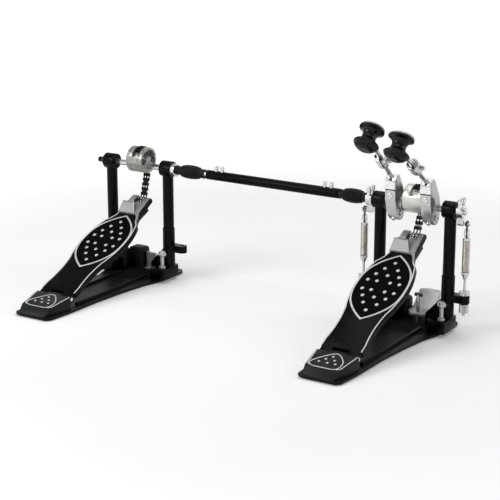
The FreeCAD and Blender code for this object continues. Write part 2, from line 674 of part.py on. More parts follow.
def outer_link(x, start, end, is_end=False):
    length = (end - start).Length
    end_r = EYE_R + EYE_WALL if is_end else PLATE_H / 2
    spans = ((-CHAIN_HALF, OUTER_T - CHAIN_HALF), (-MIDDLE_T / 2, MIDDLE_T / 2),
             (CHAIN_HALF - OUTER_T, CHAIN_HALF))
    plates = [chain_plate(length, end_r, x + a, x + b) for a, b in spans]
    pins = [chain_pin(x, 0, 0)]
    if is_end:
        eye = rod_x(EYE_R, x - CHAIN_HALF, x + CHAIN_HALF, length, 0)
        plates = [p.cut(eye) for p in plates]
    else:
        pins.append(chain_pin(x, length, 0))
    return [place_link(fuse(*plates, *pins), start, end)]


def chain_wrap(x, over):
    links = []
    for i in range(1, WRAP_LINKS + 1):
        make = inner_link if i % 2 else outer_link
        links += make(x, over[i], over[i + 1])
    return links + [chain_pin(x, over[-1].y, over[-1].z)]


def chain_run(x, run):
    links = []
    for i in range(len(run) - 2):
        make = outer_link if i % 2 else inner_link
        links += make(x, run[i], run[i + 1])
    return links + outer_link(x, run[-2], run[-1], True)


def biarc(p0, t0, p1, t1):
    # Two tangent arcs from p0 along t0 to p1 along t1.
    v = p1 - p0
    t = t0 + t1
    k = 2 * (1 - t0.dot(t1))
    d = (-v.dot(t) + math.sqrt(v.dot(t) ** 2 + k * v.dot(v))) / k
    q0, q1 = p0 + t0 * d, p1 - t1 * d
    joint = (q0 + q1) / 2
    arcs = []
    for start, corner, end in ((p0, q0, joint), (joint, q1, p1)):
        middle = (start + end) / 2
        rise = (corner - middle).Length
        chord = (end - start).Length / 2
        bulge = chord * math.tan(math.atan2(rise, chord) / 2)
        arcs.append(Part.Arc(start, middle + (corner - middle) * (bulge / rise), end).toShape())
    return arcs


def coil(x):
    low = COIL_LOW_Z + WIRE_R + FLAT_GAP
    high = COIL_HIGH_Z - WIRE_R - FLAT_GAP
    climb = (high - low) / COIL_TURNS
    halves = range(2 * COIL_TURNS + 1)
    points = []
    ways = []
    for i in halves:
        side = math.cos(math.pi * i)
        points.append(Vector(x + side * COIL_R, 0, low + climb * i / 2))
        ways.append(Vector(0, side * 2 * math.pi * COIL_R, climb).normalize())
    tail = 2 * WIRE_R
    edges = [Part.LineSegment(points[0] - ways[0] * tail, points[0]).toShape()]
    for i in halves[:-1]:
        edges += biarc(points[i], ways[i], points[i + 1], ways[i + 1])
    edges.append(Part.LineSegment(points[-1], points[-1] + ways[-1] * tail).toShape())
    section = Part.Wire(Part.Circle(points[0] - ways[0] * tail, ways[0], WIRE_R).toShape())
    sweep = Part.BRepOffsetAPI.MakePipeShell(Part.Wire(edges))
    sweep.add(section)
    sweep.build()
    sweep.makeSolid()
    solid = Part.Solid(sweep.shape()) if sweep.shape().ShapeType == "Shell" else sweep.shape()
    print_self_gap(edges)
    return solid


def print_self_gap(edges):
    # Least gap between stretches of the wire that lie half a turn or more apart.
    points = [p for e in edges[1:-1] for p in e.discretize(7)[:-1]]
    half_turn = 12
    pairs = [(p, q) for i, p in enumerate(points) for q in points[i + half_turn:i + 4 * half_turn]]
    least = min((p - q).Length for p, q in pairs)
    print("least gap of the spring coil to itself: %.2f mm" % (least - 2 * WIRE_R))


def spring_rod(side):
    x = side * (POST_X + SPRING_OUT)
    cap = rod_z(SPRING_CAP_R, x, 0, COIL_LOW_Z - SPRING_CAP_H, COIL_LOW_Z)
    neck_z = COIL_LOW_Z - SPRING_CAP_H - SPRING_CONE_H
    cone = Part.makeCone(SPRING_ROD_R, SPRING_CAP_R, SPRING_CONE_H, Vector(x, 0, neck_z))
    return fuse(cap, cone, rod_z(SPRING_ROD_R, x, 0, SPRING_ROD_LOW_Z, neck_z))


def spring_nuts(side):
    x = side * (POST_X + SPRING_OUT)
    top_z = ARM_Z + ARM_T + NUT_GAP
    low_z = ARM_Z - NUT_GAP
    top = rod_z(TOP_NUT_R, x, 0, top_z, top_z + TOP_NUT_H)
    low = rod_z(LOW_NUT_R, x, 0, low_z - LOW_NUT_H, low_z)
    bore = rod_z(SPRING_ROD_R + FIT, x, 0, SPRING_ROD_LOW_Z, top_z + TOP_NUT_H)
    return [top.cut(bore), low.cut(bore)]


def spring_hook(side):
    x = side * (POST_X + SPRING_OUT)
    pin_z = AXLE_Z - ROCKER_PIN_DROP
    ring_r = ROCKER_PIN_R + LINKAGE_GAP
    x0, x1 = x - HOOK_RING_W / 2, x + HOOK_RING_W / 2
    cap = rod_z(SPRING_CAP_R, x, 0, COIL_HIGH_Z, COIL_HIGH_Z + SPRING_CAP_H)
    stem = rod_z(HOOK_STEM_R, x, 0, COIL_HIGH_Z + SPRING_CAP_H, pin_z - ring_r)
    ring = rod_x(ring_r + HOOK_RING_T, x0, x1, 0, pin_z)
    return fuse(cap, stem, ring).cut(rod_x(ring_r, x0, x1, 0, pin_z))


def beater_rod(x, lean, reach):
    shaft = rod_z(BEATER_ROD_R, 0, 0, -ROD_TAIL, reach + ROD_IN_HEAD)
    lock_z = LOCK_SHARE * reach
    collar = rod_z(LOCK_R, 0, 0, lock_z - LOCK_W / 2, lock_z + LOCK_W / 2)
    screw = rod_x(LOCK_SCREW_R, 0, LOCK_SCREW_L, 0, lock_z)
    lock = fuse(collar, screw).cut(rod_z(BEATER_ROD_R, 0, 0, lock_z - LOCK_W, lock_z + LOCK_W))
    return beater_place(shaft, x, lean), beater_place(lock, x, lean)


def turned(points, centre_z, arc_index=None):
    # A solid turned about a line along Y at the given height, from (radius, y) points.
    vectors = [Vector(0, y, centre_z + r) for r, y in points]
    edges = []
    i = 0
    while i < len(vectors):
        if i == arc_index:
            edges.append(Part.Arc(vectors[i], vectors[i + 1], vectors[i + 2]).toShape())
            i += 2
        else:
            edges.append(Part.LineSegment(vectors[i], vectors[(i + 1) % len(vectors)]).toShape())
            i += 1
    face = Part.Face(Part.Wire(edges))
    return face.revolve(Vector(0, 0, centre_z), Vector(0, 1, 0), 360)


def beater_head(x, lean, reach):
    back_inner = HEAD_DISC_T - HEAD_BACK
    front_inner = HEAD_FRONT - HEAD_DISC_T
    profile = [(0, -HEAD_BACK), (HEAD_R - HEAD_EDGE, -HEAD_BACK), (HEAD_R, HEAD_EDGE - HEAD_BACK),
               (HEAD_R, back_inner), (HEAD_NECK_R, back_inner + HEAD_FLARE),
               (HEAD_NECK_R, front_inner - HEAD_FLARE), (HEAD_R, front_inner), (HEAD_R, HEAD_FRONT),
               (0, HEAD_FRONT)]
    socket = rod_z(BEATER_ROD_R + FIT, 0, 0, reach - HEAD_R - OVERRUN, reach + ROD_IN_HEAD + FLAT_GAP)
    return beater_place(turned(profile, reach).cut(socket), x, lean)


def beater_felt(x, lean, reach):
    rise = FELT_CROWN - FELT_RIM
    ball = (FELT_R ** 2 + rise ** 2) / (2 * rise)
    half_angle = math.asin(FELT_R / ball) / 2
    top_y = HEAD_FRONT + FELT_CROWN
    middle = (ball * math.sin(half_angle), top_y - ball + ball * math.cos(half_angle))
    profile = [(0, HEAD_FRONT), (FELT_R, HEAD_FRONT), (FELT_R, HEAD_FRONT + FELT_RIM), middle, (0, top_y)]
    return beater_place(turned(profile, reach, 2), x, lean)


def fork(joint_x, toward, upright, pin_gap):
    base_x = joint_x + toward * FORK_BACK
    base = rod_x(FORK_BASE_R, *sorted((base_x, base_x + toward * FORK_BASE_T)))
    x0, x1 = sorted((joint_x - toward * FORK_TIP, base_x))
    arms = []
    for side in (-1, 1):
        low, high = sorted((side * FORK_IN, side * FORK_OUT))
        if upright:
            arms.append(box(x0, x1, -FORK_HALF, FORK_HALF, AXLE_Z + low, AXLE_Z + high))
        else:
            arms.append(box(x0, x1, low, high, AXLE_Z - FORK_HALF, AXLE_Z + FORK_HALF))
    reach = FORK_OUT + OVERRUN
    way = Vector(0, 0, 1) if upright else Vector(0, 1, 0)
    low_end = Vector(joint_x, 0, AXLE_Z) - way * reach
    hole = Part.makeCylinder(CROSS_PIN_R + pin_gap, 2 * reach, low_end, way)
    return fuse(base, *arms).cut(hole)


def cross(joint_x):
    centre = Vector(joint_x, 0, AXLE_Z)
    block = box(joint_x - CROSS_HALF, joint_x + CROSS_HALF, -CROSS_HALF, CROSS_HALF,
                AXLE_Z - CROSS_HALF, AXLE_Z + CROSS_HALF)
    ways = (Vector(0, 1, 0), Vector(0, 0, 1))
    pins = [Part.makeCylinder(CROSS_PIN_R, 2 * CROSS_REACH, centre - w * CROSS_REACH, w) for w in ways]
    return fuse(block, *pins)


def boot(joint_x, outs):
    left_end, left_bulge, right_bulge, right_end = [joint_x + out for out in outs]
    outer = [(left_end, BOOT_NECK_R), (left_bulge, BOOT_NECK_R)]
    rib_w = (right_bulge - left_bulge) / BOOT_RIBS
    rib_shares = ((0.0, 1.0), (0.3, 0.0), (0.7, 0.0), (1.0, 1.0))
    for i in range(BOOT_RIBS):
        off_middle = (2 * i + 1) / BOOT_RIBS - 1
        crest = BOOT_R - BOOT_DROP * off_middle ** 2
        marks = rib_shares if i == 0 else rib_shares[1:]
        outer += [(left_bulge + (i + a) * rib_w, crest - b * BOOT_RIB) for a, b in marks]
    outer += [(right_bulge, BOOT_NECK_R), (right_end, BOOT_NECK_R)]
    neck_bore = AXLE_R + BOOT_NECK_GAP
    near, far = BOOT_SHOULDERS
    inner = [(right_end, neck_bore), (right_bulge, neck_bore), (right_bulge - near, BOOT_SHOULDER_R),
             (right_bulge - far, BOOT_BORE_R), (left_bulge + far, BOOT_BORE_R),
             (left_bulge + near, BOOT_SHOULDER_R), (left_bulge, neck_bore), (left_end, neck_bore)]
    face = polygon_face([Vector(x, 0, AXLE_Z + r) for x, r in outer + inner])
    return face.revolve(Vector(0, 0, AXLE_Z), Vector(1, 0, 0), 360)


def tube_bolts():
    low = AXLE_Z + AXLE_R + FLAT_GAP
    xs = [TUBE_LEFT_X + out for out in TUBE_BOLTS_LEFT] + [TUBE_RIGHT_X - out for out in TUBE_BOLTS_RIGHT]
    return [rod_z(TUBE_BOLT_R, x, 0, low, AXLE_Z + TUBE_R + TUBE_BOLT_H) for x in xs]


def drive_tube():
    tube = rod_x(TUBE_R, TUBE_LEFT_X, TUBE_RIGHT_X)
    stub = rod_x(AXLE_R, TUBE_RIGHT_X, MAIN_JOINT_X - FORK_BACK - FORK_BASE_T)
    bore = rod_x(AXLE_R + FIT, TUBE_LEFT_X, INNER_ROD_END_X + BORE_PAST_ROD)
    return fuse(tube, stub, fork(MAIN_JOINT_X, -1, False, FIT)).cut([bore] + tube_bolts())


def inner_rod():
    shaft = rod_x(AXLE_R, SLAVE_JOINT_X + FORK_BACK + FORK_BASE_T, INNER_ROD_END_X)
    return fuse(shaft, fork(SLAVE_JOINT_X, 1, False, FIT))


def left_hub_shaft():
    shaft = rod_x(AXLE_R, MAIN_JOINT_X + FORK_BACK + FORK_BASE_T, PILOT_X - PILOT_GAP)
    return fuse(shaft, fork(MAIN_JOINT_X, 1, True, LINKAGE_GAP))


def slave_axle():
    low = SLAVE_X - POST_X - BEARING_W / 2
    shaft = rod_x(AXLE_R, low, SLAVE_JOINT_X - FORK_BACK - FORK_BASE_T)
    collar_x = SLAVE_X + POST_X + HOUSING_W / 2 + FLAT_GAP
    collar = rod_x(COLLAR_R, collar_x, collar_x + COLLAR_W)
    return fuse(shaft, collar, fork(SLAVE_JOINT_X, -1, True, LINKAGE_GAP))


def build_pedal(name, x, degrees, arms, caps):
    save(name + "_floor_mat", floor_mat(x))
    save(name + "_heel_plate", heel_plate(x))
    for word, side in (("left", -1), ("right", 1)):
        save(name + "_post_" + word, post(x, side, word in arms, word in caps))
        save(name + "_spur_" + word, spur(x, side))
    save(name + "_bearings", bearing(x, -1), bearing(x, 1))
    save(name + "_footboard", footboard(x, degrees))
    save(name + "_toe_plate", toe_plate(x, degrees))
    save(name + "_hinge_pins", *hinge_pins(x, degrees))
    chain_x = x + CHAIN_X
    save(name + "_cam", cam(x))
    over, run = chain_route(degrees)
    save(name + "_chain_wrap", *chain_wrap(chain_x, over))
    save(name + "_chain_link", *outer_link(chain_x, over[1], over[0]))
    save(name + "_chain_run", *chain_run(chain_x, run))


def build_beater(word, x, side, lean, reach):
    save(word + "_rocker", rocker(side))
    save(word + "_spring", coil(side * (POST_X + SPRING_OUT)))
    save(word + "_spring_rod", spring_rod(side))
    save(word + "_spring_nuts", *spring_nuts(side))
    save(word + "_spring_hook", spring_hook(side))
    save(word + "_beater_rod", *beater_rod(x, lean, reach))
    save(word + "_beater_head", beater_head(x, lean, reach))
    save(word + "_beater_felt", beater_felt(x, lean, reach))


build_pedal("main", 0, MAIN_BOARD_DEG, ("left", "right"), ())
build_pedal("slave", SLAVE_X, SLAVE_BOARD_DEG, ("right",), ("left",))
build_beater("right", RIGHT_HUB_X, 1, RIGHT_LEAN_DEG, RIGHT_REACH)
build_beater("left", LEFT_HUB_X, -1, LEFT_LEAN_DEG, LEFT_REACH)
main_bridge = bridge(MAIN_BRIDGE_X, MAIN_BRIDGE_W, MAIN_BRIDGE_TOP_Z)
save("main_base_plate", fuse(base_plate(0), main_bridge, *clamp_ears()))
slave_bridge = bridge(SLAVE_X + BRIDGE_X, BRIDGE_W, BRIDGE_TOP_Z)
save("slave_base_plate", fuse(base_plate(SLAVE_X), slave_bridge, slave_tab()))
save("hoop_clamp_jaw", hoop_clamp_jaw())
save("hoop_clamp_screw", hoop_clamp_screw())
save("main_axle", rod_x(AXLE_R, PILOT_X, POST_X + AXLE_TAIL))
save("right_hub", right_hub())
save("left_hub", left_hub())
save("left_hub_shaft", left_hub_shaft())
save("slave_axle", slave_axle())
save("drive_tube", drive_tube())
save("drive_tube_bolts", *tube_bolts())
save("inner_rod", inner_rod())
save("main_joint_cross", cross(MAIN_JOINT_X))
save("slave_joint_cross", cross(SLAVE_JOINT_X))
save("main_boot", boot(MAIN_JOINT_X, MAIN_BOOT_OUTS))
save("slave_boot", boot(SLAVE_JOINT_X, SLAVE_BOOT_OUTS))
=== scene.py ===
import json
import math

import bmesh
import bpy
from mathutils import Matrix, Vector


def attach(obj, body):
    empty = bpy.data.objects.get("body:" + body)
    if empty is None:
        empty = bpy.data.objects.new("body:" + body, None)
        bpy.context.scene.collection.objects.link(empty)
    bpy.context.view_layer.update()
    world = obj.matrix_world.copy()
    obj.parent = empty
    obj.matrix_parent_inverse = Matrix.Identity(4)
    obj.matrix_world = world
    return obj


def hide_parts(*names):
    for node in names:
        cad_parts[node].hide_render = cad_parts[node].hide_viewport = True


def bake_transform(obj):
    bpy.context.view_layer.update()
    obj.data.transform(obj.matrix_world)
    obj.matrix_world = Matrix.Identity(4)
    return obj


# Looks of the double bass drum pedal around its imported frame.
# Sizes are millimetres in the frame's axes; add_piece turns them into metres.

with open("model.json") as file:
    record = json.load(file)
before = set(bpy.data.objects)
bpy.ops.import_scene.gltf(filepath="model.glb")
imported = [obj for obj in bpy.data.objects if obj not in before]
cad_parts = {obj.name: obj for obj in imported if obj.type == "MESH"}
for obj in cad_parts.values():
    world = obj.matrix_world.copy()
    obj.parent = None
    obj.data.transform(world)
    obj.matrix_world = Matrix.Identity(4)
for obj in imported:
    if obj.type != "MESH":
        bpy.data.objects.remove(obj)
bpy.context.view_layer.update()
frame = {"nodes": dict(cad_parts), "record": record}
MM = 0.001

# Places shared with the solids
AXLE_Z = 190.0
POST_X = 58.0
PEDALS = {"main": (0.0, 27.7), "slave": (-512.0, 24.1)}
HINGE_Y, HINGE_Z = -225.7, 19.5
SPRING_X = 85.0
BEATERS = {"right": (28.5, 53.7, 128.0), "left": (-29.5, 46.4, 115.0)}
ROD_FOOT_Y, ROD_FOOT_Z = -14.0, 226.0

# Footboard trim, along from the hinge and across from the middle
BOARD_HALF, BOARD_LENGTH, BOARD_TOP = 42.0, 240.0, 6.0
EDGE_SHARES = [(0.79, 0.09), (0.735, 0.22), (0.81, 0.36), (1.0, 0.575), (0.79, 0.79), (0.62, 0.83),
               (0.50, 0.89)]
EDGE_START = 8.5
EDGE_INSET = 1.5
EDGE_LINE_W, EDGE_LINE_H = 2.0, 0.7
LENS_LOW, LENS_HIGH, LENS_HALF, LENS_FULL, LENS_STEPS = 70.0, 207.0, 39.6, 2.6, 24
LENS_LINE_W, LENS_LINE_H = 3.0, 1.1
LENS_PANEL_H = 0.6
DOT_R, DOT_H = 2.9, 1.1
DOT_ROWS = [(190.0, (0.0,)), (176.0, (10.7,)), (162.5, (0.0, 18.8)), (148.5, (10.7, 25.8)),
            (129.2, (11.0, 25.8)), (115.7, (0.0, 18.8)), (102.0, (11.0,)), (88.2, (0.0,))]

# Heel trim, along the sloping top from its rear edge
HEEL_NOSE_Y, HEEL_NOSE_Z = -275.0, 16.5
HEEL_SLOPE_DEG = 11.9
SHIELD = [(0.0, 40.5), (17.0, 28.5), (22.5, 14.5), (18.5, 2.6), (0.0, 1.2), (-19.0, 2.6), (-24.0, 14.0)]
SHIELD_LINE_W, SHIELD_LINE_H = 1.7, 0.6
HEEL_DOTS = [(0.0, 32.0), (-7.0, 23.5), (7.0, 23.5), (-13.4, 14.8), (0.0, 14.8), (12.6, 14.8)]
HEEL_DOT_R, HEEL_DOT_H = 2.0, 0.8
HEEL_EDGE = [(20.5, 2.2), (26.2, 6.0), (32.6, 43.0)]


def ring_points(radius, count):
    angles = [2 * math.pi * i / count for i in range(count)]
    return [(radius * math.cos(a), radius * math.sin(a)) for a in angles]


def lathe(profile, count=48, loop=False):
    # Turns (radius, height) points about Z. A point at radius zero closes the form.
    points, rings, faces = [], [], []
    for radius, height in profile:
        start = len(points)
        if radius == 0:
            points.append((0, 0, height))
            rings.append([start] * count)
        else:
            points += [(x, y, height) for x, y in ring_points(radius, count)]
            rings.append(list(range(start, start + count)))
    pairs = list(zip(rings, rings[1:]))
    if loop:
        pairs.append((rings[-1], rings[0]))
    for low, high in pairs:
        for i in range(count):
            j = (i + 1) % count
            corners = [low[i], low[j], high[j], high[i]]
            face = list(dict.fromkeys(corners))
            if len(face) > 2:
                faces.append(face)
    return points, faces


def sweep(path, section, up=None, closed=False):
    # Carries a section of (side, up) points along a path; without an up it turns with the path.
    path = [Vector(p) for p in path]
    last = len(path) - 1
    points, faces = [], []
    lift = up and Vector(up)
    for i, here in enumerate(path):
        before = path[i - 1] if i or closed else here
        after = path[(i + 1) % len(path)] if i < last or closed else here
        into, out = here - before, after - here
        into = into.normalized() if into.length else out.normalized()
        out = out.normalized() if out.length else into
        way = (into + out).normalized()
        if lift is None:
            lift = way.orthogonal()
        side = way.cross(lift).normalized()
        if up is None:
            lift = side.cross(way).normalized()
        mitre = 1 / max(way.dot(out), 0.5)
        points += [here + side * u * mitre + lift * v for u, v in section]
    size = len(section)
    spans = range(len(path)) if closed else range(last)
    for i in spans:
        a, b = i * size, (i + 1) % len(path) * size
        faces += [[a + k, a + (k + 1) % size, b + (k + 1) % size, b + k] for k in range(size)]
    if not closed:
        faces.append(list(range(size)))
        faces.append([last * size + k for k in range(size)])
    return points, faces


def prism(outline, low, high):
    count = len(outline)
    points = [(x, y, low) for x, y in outline] + [(x, y, high) for x, y in outline]
    faces = [list(range(count)), list(range(count, 2 * count))]
    for i in range(count):
        j = (i + 1) % count
        faces.append([i, j, count + j, count + i])
    return points, faces


def placed(part, matrix):
    points, faces = part
    return [matrix @ Vector(p) for p in points], faces


def moved(part, x=0.0, y=0.0, z=0.0):
    return placed(part, Matrix.Translation((x, y, z)))


def along_x(part):
    # Turns a form built along Z so that it runs along X.
    return placed(part, Matrix.Rotation(math.pi / 2, 4, "Y"))


def along_y(part):
    return placed(part, Matrix.Rotation(-math.pi / 2, 4, "X"))


def merged(parts):
    points, faces = [], []
    for more, sides in parts:
        start = len(points)
        points += list(more)
        faces += [[start + k for k in face] for face in sides]
    return points, faces


def shade_by_angle(mesh, degrees):
    mesh.polygons.foreach_set("use_smooth", [True] * len(mesh.polygons))
    mesh.set_sharp_from_angle(angle=math.radians(degrees))


def round_edges(obj, width, segments=2, degrees=32):
    bevel = obj.modifiers.new("rounded_edges", "BEVEL")
    bevel.width = width * MM
    bevel.segments = segments
    bevel.limit_method = "ANGLE"
    bevel.angle_limit = math.radians(degrees)
    bevel.harden_normals = True


def add_piece(name, body, material, parts, rounded=0.0, smooth=35, instead_of=()):
    points, faces = merged(parts)
    mesh = bpy.data.meshes.new(name)
    mesh.from_pydata([Vector(p) * MM for p in points], [], faces)
    shape = bmesh.new()
    shape.from_mesh(mesh)
    bmesh.ops.recalc_face_normals(shape, faces=shape.faces)
    shape.to_mesh(mesh)
    shape.free()
    mesh.materials.append(material)
    shade_by_angle(mesh, smooth)
    obj = bpy.data.objects.new(name, mesh)
    bpy.context.scene.collection.objects.link(obj)
    if rounded:
        round_edges(obj, rounded)
    if body:
        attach(obj, body)
    for node in instead_of:
        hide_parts(node)
    return obj


def arc(a, b, c, count):
    # Points on the circle through a, b and c, from a to c.
    (ax, ay), (bx, by), (cx, cy) = a, b, c
    d = 2 * (ax * (by - cy) + bx * (cy - ay) + cx * (ay - by))
    sa, sb, sc = ax * ax + ay * ay, bx * bx + by * by, cx * cx + cy * cy
    ux = (sa * (by - cy) + sb * (cy - ay) + sc * (ay - by)) / d
    uy = (sa * (cx - bx) + sb * (ax - cx) + sc * (bx - ax)) / d
    radius = math.hypot(ax - ux, ay - uy)
    start, middle, end = [math.atan2(y - uy, x - ux) for x, y in (a, b, c)]
    turn = 2 * math.pi
    if (middle - start) % turn > (end - start) % turn:
        span = (end - start) % turn - turn
    else:
        span = (end - start) % turn
    angles = [start + span * i / count for i in range(count + 1)]
    return [(ux + radius * math.cos(t), uy + radius * math.sin(t)) for t in angles]


# Materials

NOISE_LOW, NOISE_HIGH = 0.3, 0.7
GRAIN_DETAIL, GRAIN_SHARE, BUMP_STRENGTH = 5.0, 0.5, 0.6
FLANK_FROM, FLANK_FULL, FLANK_SHARE = 0.7, 0.95, 0.7


def node_of(tree, kind, **settings):
    node = tree.nodes.new("ShaderNode" + kind)
    for key, value in settings.items():
        setattr(node, key, value)
    return node


def set_inputs(node, values):
    for socket, value in values.items():
        node.inputs[socket].default_value = value


def noise_of(tree, coords, size_mm, detail=3.0):
    noise = node_of(tree, "TexNoise")
    noise.inputs["Scale"].default_value = 1 / (size_mm * MM)
    noise.inputs["Detail"].default_value = detail
    tree.links.new(coords, noise.inputs["Vector"])
    return noise.outputs["Fac"]


def ramp_of(tree, factor, dark, light):
    ramp = node_of(tree, "ValToRGB")
    ramp.color_ramp.elements[0].position = NOISE_LOW
    ramp.color_ramp.elements[0].color = (*dark, 1)
    ramp.color_ramp.elements[1].position = NOISE_HIGH
    ramp.color_ramp.elements[1].color = (*light, 1)
    tree.links.new(factor, ramp.inputs["Fac"])
    return ramp.outputs["Color"]


def range_of(tree, factor, low, high):
    spread = node_of(tree, "MapRange")
    set_inputs(spread, {"From Min": NOISE_LOW, "From Max": NOISE_HIGH, "To Min": low, "To Max": high})
    tree.links.new(factor, spread.inputs["Value"])
    return spread.outputs["Result"]


def surface(name, dark, light, rough, patch_mm, grain_mm, bump_mm, stretch=(1, 1, 1), **fixed):
    # Colour and roughness drift over patches, and a fine grain gives the bump.
    material = bpy.data.materials.new(name)
    material.use_nodes = True
    tree = material.node_tree
    shader = tree.nodes["Principled BSDF"]
    place = node_of(tree, "Mapping")
    place.inputs["Scale"].default_value = stretch
    tree.links.new(node_of(tree, "TexCoord").outputs["Object"], place.inputs["Vector"])
    coords = place.outputs["Vector"]
    patches = noise_of(tree, coords, patch_mm)
    grain = noise_of(tree, coords, grain_mm, GRAIN_DETAIL)
    tree.links.new(ramp_of(tree, patches, dark, light), shader.inputs["Base Color"])
    both = node_of(tree, "Math", operation="MULTIPLY_ADD")
    both.inputs[1].default_value = GRAIN_SHARE
    tree.links.new(grain, both.inputs[0])
    half = node_of(tree, "Math", operation="MULTIPLY")
    half.inputs[1].default_value = 1 - GRAIN_SHARE
    tree.links.new(patches, half.inputs[0])
    tree.links.new(half.outputs[0], both.inputs[2])
    tree.links.new(range_of(tree, both.outputs[0], *rough), shader.inputs["Roughness"])
    bump = node_of(tree, "Bump")
    bump.inputs["Distance"].default_value = bump_mm * MM
    bump.inputs["Strength"].default_value = BUMP_STRENGTH
    tree.links.new(grain, bump.inputs["Height"])
    tree.links.new(bump.outputs["Normal"], shader.inputs["Normal"])
    for socket, value in fixed.items():
        shader.inputs[socket.replace("_", " ")].default_value = value
    return material


def metal(name, dark, light, rough, patch_mm, grain_mm, bump_mm, stretch=(1, 1, 1)):
    return surface(name, dark, light, rough, patch_mm, grain_mm, bump_mm, stretch, Metallic=1.0)


def shade_flanks(material, share):
    # Darkens the faces that look along the axle: painted shade on the hub's sides beside its brighter front.
    tree = material.node_tree
    paint = tree.nodes["Principled BSDF"].inputs["Base Color"]
    across = node_of(tree, "SeparateXYZ")
    tree.links.new(node_of(tree, "TexCoord").outputs["Normal"], across.inputs[0])
    turned = node_of(tree, "Math", operation="ABSOLUTE")
    tree.links.new(across.outputs["X"], turned.inputs[0])
    spread = node_of(tree, "MapRange")
    set_inputs(spread, {"From Min": FLANK_FROM, "From Max": FLANK_FULL, "To Min": 1.0, "To Max": share})
    tree.links.new(turned.outputs[0], spread.inputs["Value"])
    scale = node_of(tree, "VectorMath", operation="SCALE")
    tree.links.new(paint.links[0].from_socket, scale.inputs[0])
    tree.links.new(spread.outputs["Result"], scale.inputs["Scale"])
    tree.links.new(scale.outputs[0], paint)
    return material


BLACK = surface("black_enamel", (0.0016, 0.0020, 0.0019), (0.0032, 0.0038, 0.0037), rough=(0.24, 0.34),
                patch_mm=26, grain_mm=0.9, bump_mm=0.008, Specular_IOR_Level=0.06)
POST = surface("post_enamel", (0.0016, 0.0020, 0.0019), (0.0032, 0.0038, 0.0037), rough=(0.22, 0.28),
               patch_mm=26, grain_mm=0.9, bump_mm=0.005, Specular_IOR_Level=0.08)
PLATE = surface("plate_enamel", (0.0030, 0.0040, 0.0038), (0.0060, 0.0076, 0.0072), rough=(0.34, 0.46),
                patch_mm=30, grain_mm=0.7, bump_mm=0.015, Specular_IOR_Level=0.11)
SLATE = surface("slate_enamel", (0.006, 0.008, 0.0085), (0.012, 0.015, 0.016), rough=(0.32, 0.44),
                patch_mm=18, grain_mm=0.6, bump_mm=0.02, Specular_IOR_Level=0.12)
GRIP = surface("grip_black", (0.0008, 0.0008, 0.0009), (0.0018, 0.0018, 0.0020), rough=(0.50, 0.62),
               patch_mm=9, grain_mm=0.45, bump_mm=0.06, Specular_IOR_Level=0.03)
TRIM = surface("silver_trim", (0.58, 0.59, 0.59), (0.68, 0.68, 0.68), rough=(0.30, 0.42),
               patch_mm=12, grain_mm=0.4, bump_mm=0.006, Metallic=0.35)
CHROME = surface("chrome", (0.56, 0.565, 0.57), (0.64, 0.645, 0.65), rough=(0.10, 0.17),
                 patch_mm=18, grain_mm=0.8, bump_mm=0.002, Metallic=0.9)
CAST = surface("cast_chrome", (0.50, 0.505, 0.51), (0.58, 0.58, 0.585), rough=(0.20, 0.26),
               patch_mm=20, grain_mm=0.9, bump_mm=0.003, Metallic=0.55)
# Hub chrome with painted shade on the faces that look along the axle.
HUB = shade_flanks(surface("hub_chrome_painted_shade", (0.50, 0.505, 0.51), (0.58, 0.58, 0.585), rough=(0.18, 0.24),
                           patch_mm=20, grain_mm=0.9, bump_mm=0.003, Metallic=0.6), FLANK_SHARE)
TOE = surface("toe_alloy", (0.30, 0.30, 0.305), (0.35, 0.35, 0.355), rough=(0.42, 0.52),
              patch_mm=14, grain_mm=0.5, bump_mm=0.012, Metallic=0.4)
CAM = surface("cam_alloy", (0.58, 0.57, 0.535), (0.68, 0.67, 0.635), rough=(0.30, 0.40),
              patch_mm=14, grain_mm=0.7, bump_mm=0.008, Metallic=0.6)
# A darker copy of the cam alloy for the slave cam: painted shade, as that drum catches less light.
SHADED_CAM = surface("shaded_cam_alloy", (0.20, 0.20, 0.185), (0.44, 0.43, 0.40), rough=(0.28, 0.40),
                   patch_mm=7, grain_mm=0.7, bump_mm=0.01, Metallic=0.6)
# A lighter chrome: painted highlight for the upper hub facet, standing in for the key lamp's reflection.
GLINT_CHROME = surface("chrome_painted_highlight", (0.78, 0.785, 0.79), (0.86, 0.865, 0.87), rough=(0.10, 0.16),
                 patch_mm=18, grain_mm=0.8, bump_mm=0.002, Metallic=0.35)
STEEL = metal("clamp_steel", (0.34, 0.34, 0.34), (0.42, 0.42, 0.42), rough=(0.30, 0.42),
              patch_mm=14, grain_mm=0.5, bump_mm=0.010, stretch=(1, 1, 6))
CHAIN = surface("chain_steel", (0.004, 0.004, 0.0045), (0.010, 0.010, 0.011), rough=(0.26, 0.40),
                patch_mm=4, grain_mm=0.5, bump_mm=0.01, Metallic=0.3, Specular_IOR_Level=0.2)
SPRING = metal("spring_steel", (0.54, 0.51, 0.45), (0.63, 0.60, 0.54), rough=(0.24, 0.32),
               patch_mm=14, grain_mm=0.6, bump_mm=0.004)
# Dark steel for screws, hooks and the clamp grip, also laid as painted shade in the cam recesses and the hub
# notch.
DARK = metal("dark_steel_and_shade", (0.03, 0.03, 0.032), (0.06, 0.06, 0.062), rough=(0.28, 0.40),
             patch_mm=5, grain_mm=0.6, bump_mm=0.01)
MAT = surface("mat_rubber", (0.003, 0.003, 0.003), (0.007, 0.007, 0.007), rough=(0.70, 0.85),
              patch_mm=14, grain_mm=0.6, bump_mm=0.10, Specular_IOR_Level=0.06)
BOOT = surface("boot_rubber", (0.0020, 0.0024, 0.0024), (0.0045, 0.0052, 0.0052), rough=(0.40, 0.52),
               patch_mm=8, grain_mm=0.5, bump_mm=0.04, Specular_IOR_Level=0.18)
PLASTIC = surface("head_plastic", (0.0018, 0.0034, 0.0026), (0.0032, 0.0056, 0.0044), rough=(0.14, 0.20),
                  patch_mm=16, grain_mm=1.5, bump_mm=0.004, Specular_IOR_Level=0.2)
